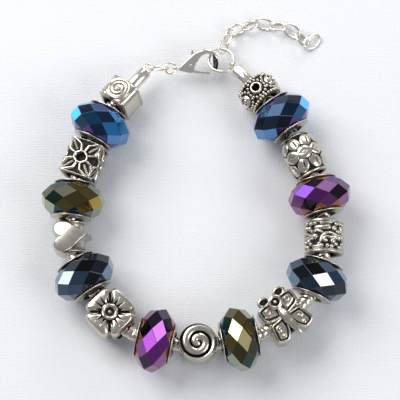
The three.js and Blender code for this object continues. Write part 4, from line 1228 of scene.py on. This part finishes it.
def hook_plate(bead, low, high, rounding, left=-20, right=20):
    """The hook's outline as a plate from low to high, cut off at left and right."""
    mesh = bmesh.new()
    mesh.verts.layers.float.new("patina")
    fine, _ = closed_curve(HOOK)
    base = mesh.faces.new([mesh.verts.new((x, y, low)) for x, y in fine[:-1:5]])
    raised = bmesh.ops.extrude_face_region(mesh, geom=[base])["geom"]
    top = [part for part in raised if isinstance(part, bmesh.types.BMVert)]
    bmesh.ops.translate(mesh, vec=(0, 0, high - low), verts=top)
    bmesh.ops.recalc_face_normals(mesh, faces=mesh.faces)
    rims = [edge for edge in mesh.edges if abs(edge.verts[0].co.z - edge.verts[1].co.z) < 1e-6]
    bmesh.ops.bevel(mesh, geom=rims, offset=rounding, affect="EDGES", segments=5, profile=0.5, material=-1)
    for x, side in ((left, -1), (right, 1)):
        whole = mesh.verts[:] + mesh.edges[:] + mesh.faces[:]
        cut = bmesh.ops.bisect_plane(mesh, geom=whole, plane_co=(x, 0, 0), plane_no=(side, 0, 0),
                                     clear_outer=True)["geom_cut"]
        edges = [part for part in cut if isinstance(part, bmesh.types.BMEdge)]
        if edges:
            bmesh.ops.edgenet_fill(mesh, edges=edges)
    bmesh.ops.recalc_face_normals(mesh, faces=mesh.faces)
    bead.join(mesh)


clasp = Casting("hook_and_cheeks")
hook_plate(clasp, -0.62, 0.62, rounding=0.5, left=3.7)
for low, high in ((0.42, 0.98), (-0.98, -0.42)):
    hook_plate(clasp, low, high, rounding=0.27, right=4.3)
hook_plate(clasp, -0.6, 0.6, rounding=0.1, right=1.25)
clasp.turned([(-0.98, 0.02), (-1.03, 0.3), (-0.9, 0.42), (0.9, 0.42), (1.03, 0.3), (0.98, 0.02)],
             PIN_PLACE, steps=28)
loop = Matrix.Translation((-0.75, 0, 0)) @ Matrix.Rotation(math.radians(90 - CLASP_ROLL), 4, "X")
clasp.ring(loop, 0.75, wire=0.45, steps=36)
clasp.finish(CLASP_PLACE, BRIGHT, "clasp_body", "bright", crease=40)

# %% The clasp's lever
lever = Casting("sprung_lever")


def lever_bar(start, end, height=0.5):
    """A straight bar with rounded edges from one point to another, and 0.15 beyond both."""
    start, end = Vector((*start, 0)), Vector((*end, 0))
    run = end - start
    turn = Matrix.Rotation(math.atan2(run.y, run.x), 4, "Z")
    size = Matrix.Diagonal((run.length + 0.3, 0.55, height, 1))
    made = lever.block(Matrix.Translation((start + end) / 2) @ turn @ size)
    edges = list({edge for vertex in made for edge in vertex.link_edges})
    bmesh.ops.bevel(lever.mesh, geom=edges, offset=0.12, affect="EDGES", segments=3, profile=0.5, material=-1)


lever_bar(PIN, (3.3, -0.75))
lever_bar((3.15, -0.75), (6.9, -1.09))
lever_bar(PIN, (3.0, 4.25))
lever_bar((3.0, 4.0), (3.0, 4.2), height=1.0)
lever.turned([(-0.25, 0.45), (-0.25, 0.9), (-0.2, 0.95), (0.2, 0.95), (0.25, 0.9), (0.25, 0.45)],
             PIN_PLACE, steps=28)
lever.finish(CLASP_PLACE, BRIGHT, "clasp_lever", "bright", LEVER, crease=40)

# %% [markdown]
# ## The cloth, the light and the camera
#
# The bracelet lies on a pale cloth. Its threads and its lint are too fine to model, so waves and noise
# give them to the light as a small relief. A soft window light stands at the upper left, a weaker one
# at the right and one behind, and an even pale sky fills the shadows and is what the glass mirrors.
# The plain Standard view keeps the colours of the glass strong. The camera looks down steeply from
# the front with a long lens.

# %% The cloth
DIM_CLOTH, PALE_CLOTH = (0.69, 0.69, 0.70, 1), (0.73, 0.73, 0.74, 1)


def woven_cloth():
    finish = Finish("woven_cloth")
    threads = [finish.node("ShaderNodeTexWave", {"bands_direction": direction},
                           {"Vector": finish.place(), "Scale": 560.0, "Distortion": 3.0, "Detail": 2.0})[1]
               for direction in ("X", "Y")]
    folds_and_fold_shade, lint = finish.noise(14.0, 1.0), finish.noise(1900.0, 1.0)
    weave = (threads[0] + threads[1]) * 0.45 + lint * 1.6 + folds_and_fold_shade * 0.5
    # The cloth's colour is painted fold shade: a little dimmer and paler in broad patches.
    colour = finish.mix(folds_and_fold_shade, DIM_CLOTH, PALE_CLOTH)
    return finish.surface(Base_Color=colour, Roughness=0.9, Normal=finish.relief(weave, 0.42, 0.0001))


table = bmesh.new()
bmesh.ops.create_grid(table, x_segments=2, y_segments=2, size=0.8)
cloth = add_object("cloth", to_data(table, "cloth"))
cloth.data.materials.append(woven_cloth())
print("cloth:", tuple(round(side, 2) for side in cloth.dimensions), "m")


# %% The lights and the sky
def aimed(thing, place, target):
    """Puts a lamp or the camera in its place and turns it to its target."""
    thing.location = place
    thing.rotation_euler = (Vector(target) - Vector(place)).to_track_quat("-Z", "Y").to_euler()
    return thing


def soft_light(name, place, size, power, colour=(1, 1, 1)):
    lamp = bpy.data.lights.new(name, "AREA")
    lamp.shape, lamp.size, lamp.energy, lamp.color = "SQUARE", size, power, colour
    aimed(add_object(name, lamp), place, (0, 0, 0))


soft_light("window", (-0.42, 0.34, 0.52), 0.55, 5.6)
soft_light("fill", (0.5, -0.25, 0.42), 0.4, 2.2, (0.95, 0.97, 1.0))
soft_light("back", (0.15, 0.6, 0.3), 0.3, 1.4)
world = bpy.data.worlds.new("room")
world.use_nodes = True
sky = world.node_tree.nodes["Background"].inputs
sky["Color"].default_value, sky["Strength"].default_value = (0.75, 0.78, 0.86, 1), 0.46
bpy.context.scene.world = world
bpy.context.scene.view_settings.view_transform = "Standard"
print("lights:", [lamp.name for lamp in bpy.data.lights])

# %% The camera
TARGET = Vector((0.000816, -0.0029, 0.0063))
DISTANCE, ELEVATION = 0.35, math.radians(77)
lens = bpy.data.cameras.new("camera")
lens.lens, lens.sensor_width = 143.5, 36
eye = TARGET + DISTANCE * Vector((0, -math.cos(ELEVATION), math.sin(ELEVATION)))
bpy.context.scene.camera = aimed(add_object("camera", lens), eye, TARGET)
print("camera:", round(math.degrees(lens.angle), 1), "degrees wide")
